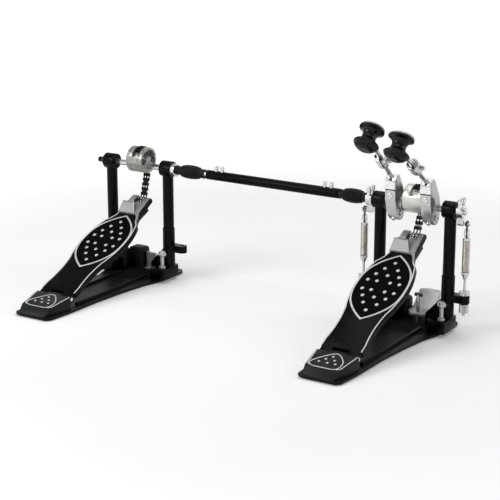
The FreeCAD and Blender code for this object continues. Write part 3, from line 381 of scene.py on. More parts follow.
FELT = surface("felt", (0.84, 0.83, 0.78), (0.93, 0.92, 0.89), rough=(0.90, 1.0),
               patch_mm=5, grain_mm=0.35, bump_mm=0.30, Sheen_Weight=0.35)
SLOTS = {"black_enamel": BLACK, "chrome": CHROME, "toe_alloy": TOE, "cam_alloy": CAM, "clamp_steel": STEEL,
         "chain_steel": CHAIN, "spring_steel": SPRING, "mat_rubber": MAT, "boot_rubber": BOOT,
         "head_plastic": PLASTIC, "felt": FELT}


# Footboards, toe plates and heels

TOE_RISE = 3.5
TOE_TOP = BOARD_TOP + TOE_RISE
TOE_FACE_LOW, TOE_FACE_HIGH = (-20.4, 11.5, 213.4, 9.2), (-19.1, 4.1, 229.6, 18.7)
RIDGE_W, RIDGE_H = 1.4, 0.9
HORN_START, HORN_LENGTH, HORN_OUT = 216.0, 40.0, 20.3
HORN_SHARES = [(-0.04, -0.10), (0.55, -0.20), (1.0, -0.14), (1.0, 0.02), (0.88, 0.08), (0.52, 0.03),
               (-0.04, -0.02)]
GUARD_T = 0.9
HORN_FACE = [(199.0, 6.7, 23.3, 25.6), (207.0, 7.4, 19.8, 23.2), (213.0, 8.8, 15.6, 21.4),
             (219.0, 10.2, 12.2, 20.4), (237.0, 11.7, 12.0, 20.4), (251.0, 13.6, 12.3, 20.3),
             (254.6, 12.3, 13.0, 19.8)]
HORN_FACE_T = 2.4
LUG_BOLT_R, LUG_BOLT_W = 3.1, 1.9
SCREW_RIM_SHARE, SCREW_TOP_SHARE, KEY_SHARE, KEY_FLOOR_SHARE = 0.75, 0.86, 0.5, 0.35
LUG_BOLT_AT = (-4.5, 246.0, 11.6)
SINK = 0.4


def ridge_section(width, height):
    return [(-width / 2, -SINK), (-width / 2, height * 0.5), (-width * 0.3, height * 0.93), (0, height),
            (width * 0.3, height * 0.93), (width / 2, height * 0.5), (width / 2, -SINK)]


def dome(radius, height):
    return lathe([(0, height), (radius * 0.45, height * 0.95), (radius * 0.78, height * 0.72),
                  (radius * 0.95, height * 0.35), (radius, 0), (radius, -SINK), (0, -SINK)], 20)


def smooth_loop(corners, count):
    # A closed curve through the corners.
    total = len(corners)
    points = []
    for i in range(total):
        a, b, c, d = [Vector(corners[(i + k) % total]) for k in (-1, 0, 1, 2)]
        for step in range(count):
            t = step / count
            points.append(0.5 * (2 * b + (c - a) * t + (2 * a - 5 * b + 4 * c - d) * t ** 2
                                 + (3 * b - a - 3 * c + d) * t ** 3))
    return points


def board_matrix(pedal):
    x, degrees = PEDALS[pedal]
    return Matrix.Translation((x, HINGE_Y, HINGE_Z)) @ Matrix.Rotation(math.radians(degrees), 4, "X")


def heel_matrix(pedal):
    x, _ = PEDALS[pedal]
    turn = Matrix.Rotation(math.radians(HEEL_SLOPE_DEG), 4, "X")
    return Matrix.Translation((x, HEEL_NOSE_Y, HEEL_NOSE_Z)) @ turn


def edge_path(side, inset):
    corners = [(h * BOARD_HALF - inset, s * BOARD_LENGTH) for h, s in EDGE_SHARES]
    path = [(corners[0][0], EDGE_START)]
    for i in (0, 2, 4):
        path += arc(*corners[i:i + 3], 14)[bool(i):]
    return [(side * x, y, BOARD_TOP) for x, y in path]


def lens(half):
    middle, reach = (LENS_LOW + LENS_HIGH) / 2, (LENS_HIGH - LENS_LOW) / 2
    shares = [i / LENS_STEPS - 1 for i in range(2 * LENS_STEPS + 1)]
    up = [(half * (1 - abs(t) ** LENS_FULL), middle + reach * t) for t in shares]
    return up + [(-x, y) for x, y in reversed(up[1:-1])]


def prism_x(yz, x0, x1):
    count = len(yz)
    points = [(x, y, z) for x in (x0, x1) for y, z in yz]
    faces = [list(range(count)), list(range(count, 2 * count))]
    faces += [[i, (i + 1) % count, count + (i + 1) % count, count + i] for i in range(count)]
    return points, faces


def strip(stations, depth):
    # A tapering strip through (along, up, left, right) stations.
    points, faces = [], []
    for along, up, left, right in stations:
        low = up - depth
        points += [(left, along, up), (right, along, up), (right, along, low), (left, along, low)]
    last = 4 * (len(stations) - 1)
    for start in range(0, last, 4):
        for k in range(4):
            faces.append([start + k, start + (k + 1) % 4, start + 4 + (k + 1) % 4, start + 4 + k])
    return points, faces + [[3, 2, 1, 0], [last, last + 1, last + 2, last + 3]]


def toe_face():
    # A ramp up to the toe wall, with a slanting right end.
    left, right, along, up = TOE_FACE_LOW
    top_left, top_right, top_along, top_up = TOE_FACE_HIGH
    points = [(left, along, up), (right, along, up), (top_right, top_along, top_up),
              (top_left, top_along, top_up), (top_right, top_along, up), (top_left, top_along, up)]
    return points, [[0, 1, 2, 3], [1, 4, 2], [0, 3, 5], [3, 2, 4, 5], [0, 5, 4, 1]]


def screw_head(radius, height):
    # A cap head along Z with a chamfered rim and a sunk key hole.
    hole_r, floor = radius * KEY_SHARE, height * KEY_FLOOR_SHARE
    rim = [(0, 0), (radius, 0), (radius, height * SCREW_RIM_SHARE), (radius * SCREW_TOP_SHARE, height)]
    return lathe(rim + [(hole_r, height), (hole_r, floor), (0, floor)], 24)


def dress_board(pedal):
    place = board_matrix(pedal)
    body = pedal + "_footboard"
    line = ridge_section(EDGE_LINE_W, EDGE_LINE_H)
    edges = [placed(sweep(edge_path(s, EDGE_INSET), line, (0, 0, 1)), place) for s in (-1, 1)]
    add_piece(pedal + "_edge_lines", body, TRIM, edges)
    panel = prism(lens(LENS_HALF), BOARD_TOP - SINK, BOARD_TOP + LENS_PANEL_H)
    add_piece(pedal + "_grip_panel", body, GRIP, [placed(panel, place)], rounded=0.3)
    rim = [(x, y, BOARD_TOP) for x, y in lens(LENS_HALF)]
    rim = sweep(rim, ridge_section(LENS_LINE_W, LENS_LINE_H), (0, 0, 1), closed=True)
    add_piece(pedal + "_grip_outline", body, TRIM, [placed(rim, place)])
    dots = []
    for s, xs in DOT_ROWS:
        for x in sorted({side * x for x in xs for side in (-1, 1)}):
            dots.append(placed(moved(dome(DOT_R, DOT_H), x, s, BOARD_TOP + LENS_PANEL_H), place))
    add_piece(pedal + "_grip_dots", body, TRIM, dots)
    ramp = toe_face()
    add_piece(pedal + "_toe_face", body, TOE, [placed(ramp, place)], rounded=0.5)
    ridge = sweep([ramp[0][1], ramp[0][2]], ridge_section(RIDGE_W, RIDGE_H), (0, 0, 1))
    add_piece(pedal + "_toe_ridge", body, TRIM, [placed(ridge, place)])
    horn = placed(strip(HORN_FACE, HORN_FACE_T), place)
    add_piece(pedal + "_horn_face", body, TOE, [horn], rounded=0.5, smooth=30)
    side = [(HORN_START + a * HORN_LENGTH, TOE_TOP + b * HORN_LENGTH) for a, b in HORN_SHARES]
    guard = prism_x(side, HORN_OUT - SINK, HORN_OUT + GUARD_T)
    add_piece(pedal + "_horn_guard", body, BLACK, [placed(guard, place)], rounded=0.3)
    bolt = moved(along_x(screw_head(LUG_BOLT_R, LUG_BOLT_W)), *LUG_BOLT_AT)
    add_piece(pedal + "_lug_screw", body, DARK, [placed(bolt, place)], rounded=0.2)


def dress_heel(pedal):
    place = heel_matrix(pedal)
    body = pedal + "_frame"
    loop = [(x, y, 0) for x, y in smooth_loop(SHIELD, 6)]
    rim = sweep(loop, ridge_section(SHIELD_LINE_W, SHIELD_LINE_H), (0, 0, 1), closed=True)
    lines = [placed(rim, place)]
    for side in (-1, 1):
        edge = [(side * x, y, 0) for x, y in HEEL_EDGE]
        lines.append(placed(sweep(edge, ridge_section(SHIELD_LINE_W, SHIELD_LINE_H), (0, 0, 1)), place))
    add_piece(pedal + "_heel_outline", body, TRIM, lines)
    dots = [placed(moved(dome(HEEL_DOT_R, HEEL_DOT_H), x, y), place) for x, y in HEEL_DOTS]
    add_piece(pedal + "_heel_dots", body, TRIM, dots)


for pedal in PEDALS:
    dress_board(pedal)
    dress_heel(pedal)


# Springs, hooks and nuts

COIL_R, WIRE_R, COIL_TURNS = 5.1, 0.75, 28
COIL_LOW_Z, COIL_HIGH_Z = 99.0, 147.0
COIL_STEPS = 20
WIRE_SIDES = 8
COIL_END_GAP = 0.75
CAP_R, CAP_H, CAP_EDGE = 6.0, 3.5, 0.5
HOOK_PIN_Z, HOOK_R, HOOK_WIRE_R = 172.0, 4.4, 1.25
HOOK_OPEN_DEG = 55.0
HOOK_STEM = [(-0.6, 4.0), (-0.5, 1.5)]
HOOK_STEPS = 32
NUT_TOP_Z, TOP_NUT_R, TOP_NUT_H = 63.0, 8.2, 6.0
NUT_LOW_Z, LOW_NUT_R, LOW_NUT_H = 49.5, 7.2, 14.0
NUT_BORE_R = 2.1
KNURLS, KNURL_DEPTH = 36, 0.45


def coil_path(x):
    low, high = COIL_LOW_Z + COIL_END_GAP, COIL_HIGH_Z - COIL_END_GAP
    total = COIL_TURNS * COIL_STEPS
    points = []
    for i in range(total + 1):
        angle = 2 * math.pi * i / COIL_STEPS
        z = low + (high - low) * i / total
        points.append((x + COIL_R * math.cos(angle), COIL_R * math.sin(angle), z))
    return points


def knurled(radius, height, bore):
    # A nut along Z with a toothed rim and a bore.
    count = 2 * KNURLS
    levels = [(0.0, 0.90), (0.07, 1.0), (0.93, 1.0), (1.0, 0.90)]
    points, faces = [], []
    for share, scale in levels:
        for i in range(count):
            r = (radius - KNURL_DEPTH * (i % 2)) * scale
            a = 2 * math.pi * i / count
            points.append((r * math.cos(a), r * math.sin(a), share * height))
    for z in (height, 0.0):
        for i in range(count):
            a = 2 * math.pi * i / count
            points.append((bore * math.cos(a), bore * math.sin(a), z))
    rings = len(levels) + 2
    for k in range(rings):
        for i in range(count):
            j = (i + 1) % count
            a, b = k * count, (k + 1) % rings * count
            faces.append([a + i, a + j, b + j, b + i])
    return points, faces


def spring_hook(x):
    # An open ring round the rocker's pin and a stem down to the cap that holds the coil.
    gap = math.radians(HOOK_OPEN_DEG)
    ring = []
    for i in range(HOOK_STEPS + 1):
        a = -math.pi / 2 + (2 * math.pi - gap) * i / HOOK_STEPS
        ring.append((x, HOOK_R * math.cos(a), HOOK_PIN_Z + HOOK_R * math.sin(a)))
    stem = [(x, 0, COIL_HIGH_Z + CAP_H - CAP_EDGE)]
    stem += [(x, y, HOOK_PIN_Z - HOOK_R - drop) for y, drop in HOOK_STEM]
    return sweep(stem + ring, ring_points(HOOK_WIRE_R, 10), (1, 0, 0))


def spring_cap(x, low):
    lip = CAP_R * 0.9
    top = low + CAP_H
    profile = [(0, low), (lip, low), (CAP_R, low + CAP_EDGE), (CAP_R, top - CAP_EDGE), (lip, top), (0, top)]
    return moved(lathe(profile, 32), x)


def dress_spring(word, side):
    x = side * SPRING_X
    lower, upper = word + "_spring_lower", word + "_spring_upper"
    wire = sweep(coil_path(x), ring_points(WIRE_R, WIRE_SIDES))
    coil = add_piece(word + "_coil", None, SPRING, [wire], smooth=60,
                     instead_of=[word + "_spring"])
    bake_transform(coil)
    add_piece(word + "_s_hook", upper, DARK, [spring_hook(x)], smooth=50, instead_of=[word + "_spring_hook"])
    add_piece(word + "_coil_cap", upper, CHROME, [spring_cap(x, COIL_HIGH_Z)])
    nuts = [moved(knurled(TOP_NUT_R, TOP_NUT_H, NUT_BORE_R), x, 0, NUT_TOP_Z),
            moved(knurled(LOW_NUT_R, LOW_NUT_H, NUT_BORE_R), x, 0, NUT_LOW_Z - LOW_NUT_H)]
    add_piece(word + "_knurled_nuts", word + "_spring_nuts", CHROME, nuts, smooth=20,
              instead_of=[word + "_spring_nuts"])


dress_spring("right", 1)
dress_spring("left", -1)


# Beater heads, felts and locks

HEAD_DOME = ((0.0, -21.0), (13.6, -18.6), (18.9, -12.6))
HEAD_BACK_RIM = ((18.9, -12.6), (19.4, -11.0), (18.2, -9.6))
HEAD_BACK_STEP = ((18.2, -9.6), (16.6, -9.0), (15.6, -7.8))
HEAD_WAIST = ((15.6, -7.8), (10.9, 0.4), (18.4, 11.6))
HEAD_FRONT_RIM = ((18.4, 11.6), (19.4, 13.4), (18.4, 15.0))
HEAD_FACE_Y = 15.0
FELT_SIDE = ((17.4, 15.1), (18.5, 16.8), (17.8, 18.5))
FELT_CROWN = ((17.8, 18.5), (13.2, 20.4), (0.0, 21.0))
HEAD_SIDES = 72
LOCK_SHARE = 0.49
LOCK_R, LOCK_W, LOCK_EDGE = 9.2, 20.4, 2.2
LOCK_RING_R, LOCK_RING_IN_R, LOCK_RING_W = 9.6, 8.2, 3.4
LOCK_SCREWS = ((-6.1, -1.2), (3.0, -5.6))
LOCK_SCREW_R, LOCK_SCREW_H = 2.5, 1.4
KNOB_AT, KNOB_R, KNOB_W, KNOB_BORE_R = 8.4, 3.4, 7.0, 1.0
ROD_R = 3.9


def beater_matrix(word):
    x, lean, _ = BEATERS[word]
    return Matrix.Translation((x, ROD_FOOT_Y, ROD_FOOT_Z)) @ Matrix.Rotation(math.radians(lean), 4, "X")


def curved(*stretches, count=10):
    # One profile through stretches of three points each.
    points = []
    for stretch in stretches:
        points += arc(*stretch, count)[bool(points):]
    return points


def dress_head(word):
    reach = BEATERS[word][2]
    place = beater_matrix(word) @ Matrix.Translation((0, 0, reach))
    body = word + "_beater_head"
    shell = curved(HEAD_DOME, HEAD_BACK_RIM, HEAD_BACK_STEP, HEAD_WAIST, HEAD_FRONT_RIM)
    shell.append((0.0, HEAD_FACE_Y))
    shell = placed(along_y(lathe(shell, HEAD_SIDES)), place)
    add_piece(word + "_head_spool", body, PLASTIC, [shell], smooth=50,
              instead_of=[word + "_beater_head"])
    pad = [(0.0, HEAD_FACE_Y)] + curved(FELT_SIDE, FELT_CROWN)
    pad[-1] = (0.0, pad[-1][1])
    pad = placed(along_y(lathe(pad, HEAD_SIDES)), place)
    pad = add_piece(word + "_felt_pad", body, FELT, [pad], smooth=60,
                    instead_of=[word + "_beater_felt"])


def dress_lock(word):
    reach = BEATERS[word][2]
    place = beater_matrix(word) @ Matrix.Translation((0, 0, LOCK_SHARE * reach))
    body = word + "_beater"
    half = LOCK_W / 2
    barrel = [(ROD_R, -half), (LOCK_R - LOCK_EDGE, -half), (LOCK_R, LOCK_EDGE - half),
              (LOCK_R, half - LOCK_EDGE), (LOCK_R - LOCK_EDGE / 2, half), (ROD_R, half)]
    ring_half = LOCK_RING_W / 2
    ring = [(LOCK_RING_IN_R, -ring_half), (LOCK_RING_R, -ring_half), (LOCK_RING_R, ring_half),
            (LOCK_RING_IN_R, ring_half)]
    add_piece(word + "_lock_collar", body, CHROME, [placed(lathe(barrel, 48, loop=True), place),
                                                    placed(lathe(ring, 48, loop=True), place)], rounded=0.6)
    screw = screw_head(LOCK_SCREW_R, LOCK_SCREW_H)
    screws = [placed(moved(screw, x, y, half), place) for x, y in LOCK_SCREWS]
    add_piece(word + "_lock_screws", body, DARK, screws, rounded=0.15)
    knob = moved(along_x(knurled(KNOB_R, KNOB_W, KNOB_BORE_R)), KNOB_AT)
    add_piece(word + "_lock_knob", body, CHROME, [placed(knob, place)], smooth=20)


for word in BEATERS:
    dress_head(word)
    dress_lock(word)


# Hubs

HUB_XS = {"right": (28.5, "main_axle"), "left": (-29.5, "left_shaft")}
HUB_HALF = 8.5
HUB_FRONT = ((-24.8, 196.9), (-24.8, 213.9))
HUB_BROW = ((-26.7, 226.8), (-24.4, 233.7))
HUB_CHIN = ((-15.2, 171.6), (-7.8, 165.2))
SADDLE_HALF, SADDLE_LOW, SADDLE_HIGH, SADDLE_T = 8.3, 0.02, 0.96, 1.5
GROOVE_HALF, GROOVE_LOW, GROOVE_HIGH, GROOVE_DEPTH = 8.6, 0.94, 1.05, 0.9
BOSS_SHARE, BROW_SHARE, CHIN_SHARE = 0.46, 0.45, 0.5
BROW_SIDE = [(-24.9, 215.2), (-28.3, 215.5), (-27.4, 226.2), (-26.4, 226.2)]
BROW_HALF = 8.3
BOSS_R, BOSS_H = 4.6, 1.3
BROW_SCREW_R, BROW_SCREW_H = 2.2, 0.9
CHIN_SCREW_R, CHIN_SCREW_H = 3.6, 3.4
CHEEK_BOLT_R, CHEEK_BOLT_H = 4.2, 2.4
CHEEK_BOLT_AT = (-6.0, 176.0)


def on_facet(part, x, facet, share):
    # Sets a form built along Z on a facet given by its lower and upper (y, z) ends.
    (y0, z0), (y1, z1) = facet
    rise = Vector((0, y1 - y0, z1 - z0)).normalized()
    out = Vector((1, 0, 0)).cross(rise)
    if out.y > 0:
        out = -out
    turn = Matrix((Vector((1, 0, 0)), out.cross(Vector((1, 0, 0))), out)).transposed().to_4x4()
    at = (x, y0 + (y1 - y0) * share, z0 + (z1 - z0) * share)
    return placed(part, Matrix.Translation(at) @ turn)


def slab(facet, low, high, half, thick):
    # A flat block along a facet, built for on_facet about the facet's lower end.
    (y0, z0), (y1, z1) = facet
    length = math.hypot(y1 - y0, z1 - z0)
    outline = [(-half, low * length), (half, low * length), (half, high * length), (-half, high * length)]
    return prism(outline, -SINK, thick)


def dress_hub(word):
    x, body = HUB_XS[word]
    saddle = slab(HUB_FRONT, SADDLE_LOW, SADDLE_HIGH, SADDLE_HALF, SADDLE_T)
    add_piece(word + "_hub_saddle", body, HUB, [on_facet(saddle, x, HUB_FRONT, 0)], rounded=0.5)
    # A dark strip under the brow: painted shade for the notch there.
    notch_shade = slab(HUB_FRONT, GROOVE_LOW, GROOVE_HIGH, GROOVE_HALF, GROOVE_DEPTH)
    add_piece(word + "_hub_notch_shade", body, DARK, [on_facet(notch_shade, x, HUB_FRONT, 0)], rounded=0.2)
    # The brow plate is painted lighter, as the highlight it would catch from the key lamp.
    brow = prism_x(BROW_SIDE, x - BROW_HALF, x + BROW_HALF)
    add_piece(word + "_hub_brow_plate", body, GLINT_CHROME, [brow], rounded=0.5)
    boss = moved(screw_head(BOSS_R, BOSS_H), 0, 0, SADDLE_T)
    add_piece(word + "_hub_boss", body, CHROME, [on_facet(boss, x, HUB_FRONT, BOSS_SHARE)], rounded=0.25)
    add_piece(word + "_hub_brow_screw", body, DARK,
              [on_facet(screw_head(BROW_SCREW_R, BROW_SCREW_H), x, HUB_BROW, BROW_SHARE)], rounded=0.15)
    chin = on_facet(screw_head(CHIN_SCREW_R, CHIN_SCREW_H), x, HUB_CHIN, CHIN_SHARE)
    add_piece(word + "_hub_chin_screw", body, CHROME, [chin], rounded=0.3)
    bolt = along_x(screw_head(CHEEK_BOLT_R, CHEEK_BOLT_H))
    bolt = moved(bolt, x + HUB_HALF, *CHEEK_BOLT_AT)
    add_piece(word + "_hub_cheek_bolt", body, CHROME, [bolt], rounded=0.3)


for word in HUB_XS:
    dress_hub(word)


# Boots and bolts of the drive shaft

BOOTS = {"main": (-105.0, (-23.5, -16.5, 16.5, 22.6), "main_frame", "drive_link"),
         "slave": (-408.0, (-26.6, -17.0, 19.0, 28.0), "slave_link", "slave_frame")}
BOOT_R, BOOT_NECK_R, BOOT_BORE_R, BOOT_NECK_BORE_R = 11.5, 7.2, 9.0, 5.05
BOOT_RIBS, BOOT_RIB, BOOT_STEPS = 8, 1.3, 12
BOOT_END_SHARE, BOOT_SHOULDER = 0.93, 7.0
BOOT_LIP, BOOT_LIP_W = 0.5, 1.6
TUBE_BOLT_XS = (-357.0, -346.0, -156.0, -144.0)
TUBE_BOLT_FOOT_Z, TUBE_BOLT_R, TUBE_BOLT_H = 201.3, 3.7, 4.7


def boot_profile(outs):
    # Outer line with its ribs, then back along the bore, as (radius, along).
    left_end, left, right, right_end = outs
    middle, half = (left + right) / 2, (right - left) / 2
    lip = BOOT_NECK_R + BOOT_LIP
    outer = [(lip, left_end), (lip, left_end + BOOT_LIP_W), (BOOT_NECK_R, left_end + BOOT_LIP_W)]
    total = BOOT_RIBS * BOOT_STEPS
    for i in range(total + 1):
        share = 2 * i / total - 1
        swell = math.sqrt(1 - (BOOT_END_SHARE * share) ** 2)
        rib = BOOT_RIB * (0.5 - 0.5 * math.cos(2 * math.pi * i / BOOT_STEPS))
        crest = BOOT_NECK_R + (BOOT_R - BOOT_NECK_R) * swell
        outer.append((crest - BOOT_RIB + rib, middle + half * share))
    outer += [(BOOT_NECK_R, right_end - BOOT_LIP_W), (lip, right_end - BOOT_LIP_W), (lip, right_end)]
    span = half - BOOT_SHOULDER
    bore = [(BOOT_BORE_R, middle + span * (1 - 2 * i / BOOT_RIBS)) for i in range(BOOT_RIBS + 1)]
    inner = [(BOOT_NECK_BORE_R, right_end), (BOOT_NECK_BORE_R, right)] + bore
    return outer + inner + [(BOOT_NECK_BORE_R, left), (BOOT_NECK_BORE_R, left_end)]


def dress_boot(pedal):
    joint_x, outs, first, second = BOOTS[pedal]
    sleeve = moved(along_x(lathe(boot_profile(outs), 56, loop=True)), joint_x, 0, AXLE_Z)
    boot = add_piece(pedal + "_ribbed_boot", None, BOOT, [sleeve], smooth=40,
                     instead_of=[pedal + "_boot"])
    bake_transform(boot)


def dress_tube():
    heads = [moved(screw_head(TUBE_BOLT_R, TUBE_BOLT_H), x, 0, TUBE_BOLT_FOOT_Z) for x in TUBE_BOLT_XS]
    add_piece("drive_bolt_heads", "drive_tube", CHROME, heads, rounded=0.3)


for pedal in BOOTS:
    dress_boot(pedal)
dress_tube()


# Rockers, cams, posts, spurs, clamp and mats

ROCKER_X, ROCKER_BOLT_Y, ROCKER_BOLT_Z = 75.25, 7.0, 203.6
ROCKER_BOLT_R, ROCKER_BOLT_H = 3.9, 5.6
EYE_Z, EYE_HALF_H, EYE_HALF_W, EYE_WIRE_R, EYE_STEPS = 158.0, 7.2, 3.6, 1.0, 40
CAM_X, CAM_Z, CAM_HALF = 3.5, 199.5, 15.5
RECESS_IN_R, RECESS_OUT_R, RECESS_HALF_DEG, RECESS_H = 6.5, 17.8, 19.0, 0.3
RECESS_DEGS, RECESS_STEPS = (-12, 36, 84, 132, 180), 6
TAB_X0, TAB_X1, TAB_TOP_Z = -4.9, 14.5, 33.3
TAB_SIDE = [(15.0, 4.6), (24.3, 4.6), (24.3, TAB_TOP_Z), (19.7, TAB_TOP_Z), (19.7, 7.0), (15.0, 7.0)]
SLEEVE_R, SLEEVE_LOW_Z, SLEEVE_TOP_Z, SLEEVE_EDGE, SLEEVE_LIP = 10.1, 24.0, 90.0, 1.2, 0.1
POST_R = 9.0
SPUR_Y, SPUR_FOOT_Z, SPUR_TOP_Z = -20.0, 2.6, 54.0
SPUR_R, SPUR_NECK_R, SPUR_HEAD_R, SPUR_HEAD_H = 3.75, 3.2, 6.6, 9.0
SPUR_NUT_R, SPUR_NUT_Z, SPUR_NUT_H = 5.6, 24.4, 3.4
SPUR_TIP_R, SPUR_TIP_H, SPUR_NUT_EDGE = 0.8, 5.0, 0.6
SPUR_FLARE_H, SPUR_FLARE_SHARE, SPUR_RIM_H = 1.0, 0.8, 1.2
SPUR_CROWN_H, SPUR_CROWN_SHARE = 1.6, 0.82
CLAMP_X, CLAMP_SCREW_Y, HANDLE_Z, HANDLE_HALF, HANDLE_R = 7.0, 6.0, 49.0, 6.6, 3.1
HANDLE_RIM, HANDLE_CROWN, HANDLE_DIP_SHARE, HANDLE_ROUND_SHARE = 1.6, 0.3, 0.86, 0.7
PAD_OUTLINE = [(-36.0, -46.0), (36.0, -46.0), (40.0, -34.0), (34.0, 40.0), (-34.0, 40.0), (-40.0, -34.0)]
PAD_LOW_Z, PAD_TOP_Z, PAD_CORNER_R = 4.7, 5.5, 8.0
COLLAR_XS, WASHER_XS, COLLAR_R, WASHER_R, COLLAR_IN_R = (-14.6, -12.2), (-16.9, -14.8), 9.6, 11.2, 4.8
RING_EDGE = 0.6
SEAL_DEEP, SEAL_OUT, SEAL_R, SEAL_IN_R = 7.1, 9.4, 8.9, 5.3
PLATE_HALF, PLATE_LENGTH, PLATE_BACK_Y = 61.0, 334.0, -289.0
PLATE_SHARES = [(0.46, 0.0), (0.57, 0.02), (0.62, 0.15), (0.63, 0.36), (0.70, 0.54), (0.81, 0.70),
                (0.97, 0.80), (1.0, 0.97), (0.86, 1.0)]
MAT_INSET, MAT_T, MAT_STEP, MAT_CORNER_R = 3.0, 2.0, 0.8, 7.0
SOLE_SHARE, UPPER_SHARE, CORNER_SHARE = 0.6, 0.5, 0.45


def dress_rocker(word, side):
    body = HUB_XS[word][1]
    heads = [moved(screw_head(ROCKER_BOLT_R, ROCKER_BOLT_H), side * ROCKER_X, y, ROCKER_BOLT_Z)
             for y in (-ROCKER_BOLT_Y, ROCKER_BOLT_Y)]
    add_piece(word + "_rocker_bolts", body, CHROME, heads, rounded=0.3)
    loop = [(side * SPRING_X + EYE_HALF_W * math.cos(a), 0, EYE_Z + EYE_HALF_H * math.sin(a))
            for a in [2 * math.pi * i / EYE_STEPS for i in range(EYE_STEPS)]]
    ring = sweep(loop, ring_points(EYE_WIRE_R, 10), (0, 1, 0), closed=True)
    add_piece(word + "_spring_eye", word + "_spring_upper", CHROME, [ring], smooth=60)


def recess(middle_deg):
    # The outline of one recess between two spokes, as (y, z), for the dark sheet that paints its shade.
    half = math.radians(RECESS_HALF_DEG)
    middle = math.radians(middle_deg)
    turns = [middle + half * (i / RECESS_STEPS - 1) for i in range(2 * RECESS_STEPS + 1)]
    outer = [(RECESS_OUT_R * math.cos(a), CAM_Z + RECESS_OUT_R * math.sin(a)) for a in turns]
    inner = [(RECESS_IN_R * math.cos(a), CAM_Z + RECESS_IN_R * math.sin(a)) for a in reversed(turns)]
    return outer + inner


def dress_cam(pedal):
    x = PEDALS[pedal][0] + CAM_X
    # Dark sheets on both cam faces: painted shade in the recesses between the spokes.
    for word, side in (("right", 1), ("left", -1)):
        face, out = sorted((x + side * (CAM_HALF - SINK), x + side * (CAM_HALF + RECESS_H)))
        recess_shades = [prism_x(recess(degrees), face, out) for degrees in RECESS_DEGS]
        add_piece(pedal + "_cam_recess_shades_" + word, pedal + "_axle", DARK, recess_shades, rounded=0.1)


def dress_posts(pedal):
    x = PEDALS[pedal][0]
    edge = [(POST_R - SINK, SLEEVE_LOW_Z), (SLEEVE_R, SLEEVE_LOW_Z), (SLEEVE_R, SLEEVE_TOP_Z - SLEEVE_EDGE),
            (POST_R + SLEEVE_LIP, SLEEVE_TOP_Z), (POST_R - SINK, SLEEVE_TOP_Z)]
    sleeves = [moved(lathe(edge, 48, loop=True), x + side * POST_X) for side in (-1, 1)]
    add_piece(pedal + "_post_sleeves", pedal + "_frame", POST, sleeves)


def dress_spur(pedal, word, side):
    low, neck_z = SPUR_FOOT_Z, SPUR_TOP_Z - SPUR_HEAD_H
    nut_top = SPUR_NUT_Z + SPUR_NUT_H
    shaft = [(0, low), (SPUR_TIP_R, low), (SPUR_R, low + SPUR_TIP_H), (SPUR_R, SPUR_NUT_Z),
             (SPUR_NUT_R, SPUR_NUT_Z), (SPUR_NUT_R, nut_top), (SPUR_NECK_R, nut_top + SPUR_NUT_EDGE),
             (SPUR_NECK_R, neck_z - SPUR_FLARE_H), (SPUR_HEAD_R * SPUR_FLARE_SHARE, neck_z)]
    bulge = (SPUR_HEAD_R * SPUR_CROWN_SHARE, SPUR_TOP_Z - SPUR_CROWN_H)
    crown = arc((SPUR_HEAD_R, neck_z + SPUR_RIM_H), bulge, (0, SPUR_TOP_Z), 10)
    crown[-1] = (0, SPUR_TOP_Z)
    spur = moved(lathe(shaft + crown, 40), PEDALS[pedal][0] + side * POST_X, SPUR_Y)
    body = pedal + "_spur_" + word
    add_piece(body + "_screw", body, CAST, [spur], smooth=30, instead_of=[body])


def round_corners(points, radius, count=6):
    # Replaces each corner of a closed outline by a short arc.
    total = len(points)
    outline = []
    for i in range(total):
        before, here, after = [Vector(points[(i + k) % total]) for k in (-1, 0, 1)]
        back, ahead = before - here, after - here
        cut = min(radius, back.length * CORNER_SHARE, ahead.length * CORNER_SHARE)
        start, end = here + back.normalized() * cut, here + ahead.normalized() * cut
        for step in range(count + 1):
            t = step / count
            outline.append(start * (1 - t) ** 2 + here * 2 * t * (1 - t) + end * t ** 2)
    return [tuple(p) for p in outline]


def mat_outline(x, inset):
    half, length = PLATE_HALF - inset, PLATE_LENGTH - 2 * inset
    right = [(x + h * half, PLATE_BACK_Y + inset + s * length) for h, s in PLATE_SHARES]
    left = [(x - h * half, PLATE_BACK_Y + inset + s * length) for h, s in reversed(PLATE_SHARES)]
    return round_corners(right + left, MAT_CORNER_R)


def dress_mat(pedal):
    x = PEDALS[pedal][0]
    sole = prism(mat_outline(x, MAT_INSET), 0, MAT_T * SOLE_SHARE)
    upper = prism(mat_outline(x, MAT_INSET + MAT_STEP), MAT_T * UPPER_SHARE, MAT_T)
    add_piece(pedal + "_sole", pedal + "_frame", MAT, [sole, upper], rounded=0.25,
              instead_of=[pedal + "_floor_mat"])


def dress_pad(pedal):
    # The dull rubber under the hoop, between the posts.
    outline = [(PEDALS[pedal][0] + x, y) for x, y in round_corners(PAD_OUTLINE, PAD_CORNER_R)]
    add_piece(pedal + "_hoop_pad", pedal + "_frame", MAT, [prism(outline, PAD_LOW_Z, PAD_TOP_Z)], rounded=0.3)


def ring_x(xs, outer, inner):
    x0, x1 = xs
    rim = outer - RING_EDGE
    profile = [(inner, x0), (rim, x0), (outer, x0 + RING_EDGE),
               (outer, x1 - RING_EDGE), (rim, x1), (inner, x1)]
    return moved(along_x(lathe(profile, 48, loop=True)), 0, 0, AXLE_Z)


def dress_collar():
    add_piece("main_axle_collar", "main_axle", CHROME, [ring_x(COLLAR_XS, COLLAR_R, COLLAR_IN_R)])
    add_piece("main_axle_washer", "main_axle", BLACK, [ring_x(WASHER_XS, WASHER_R, COLLAR_IN_R)])


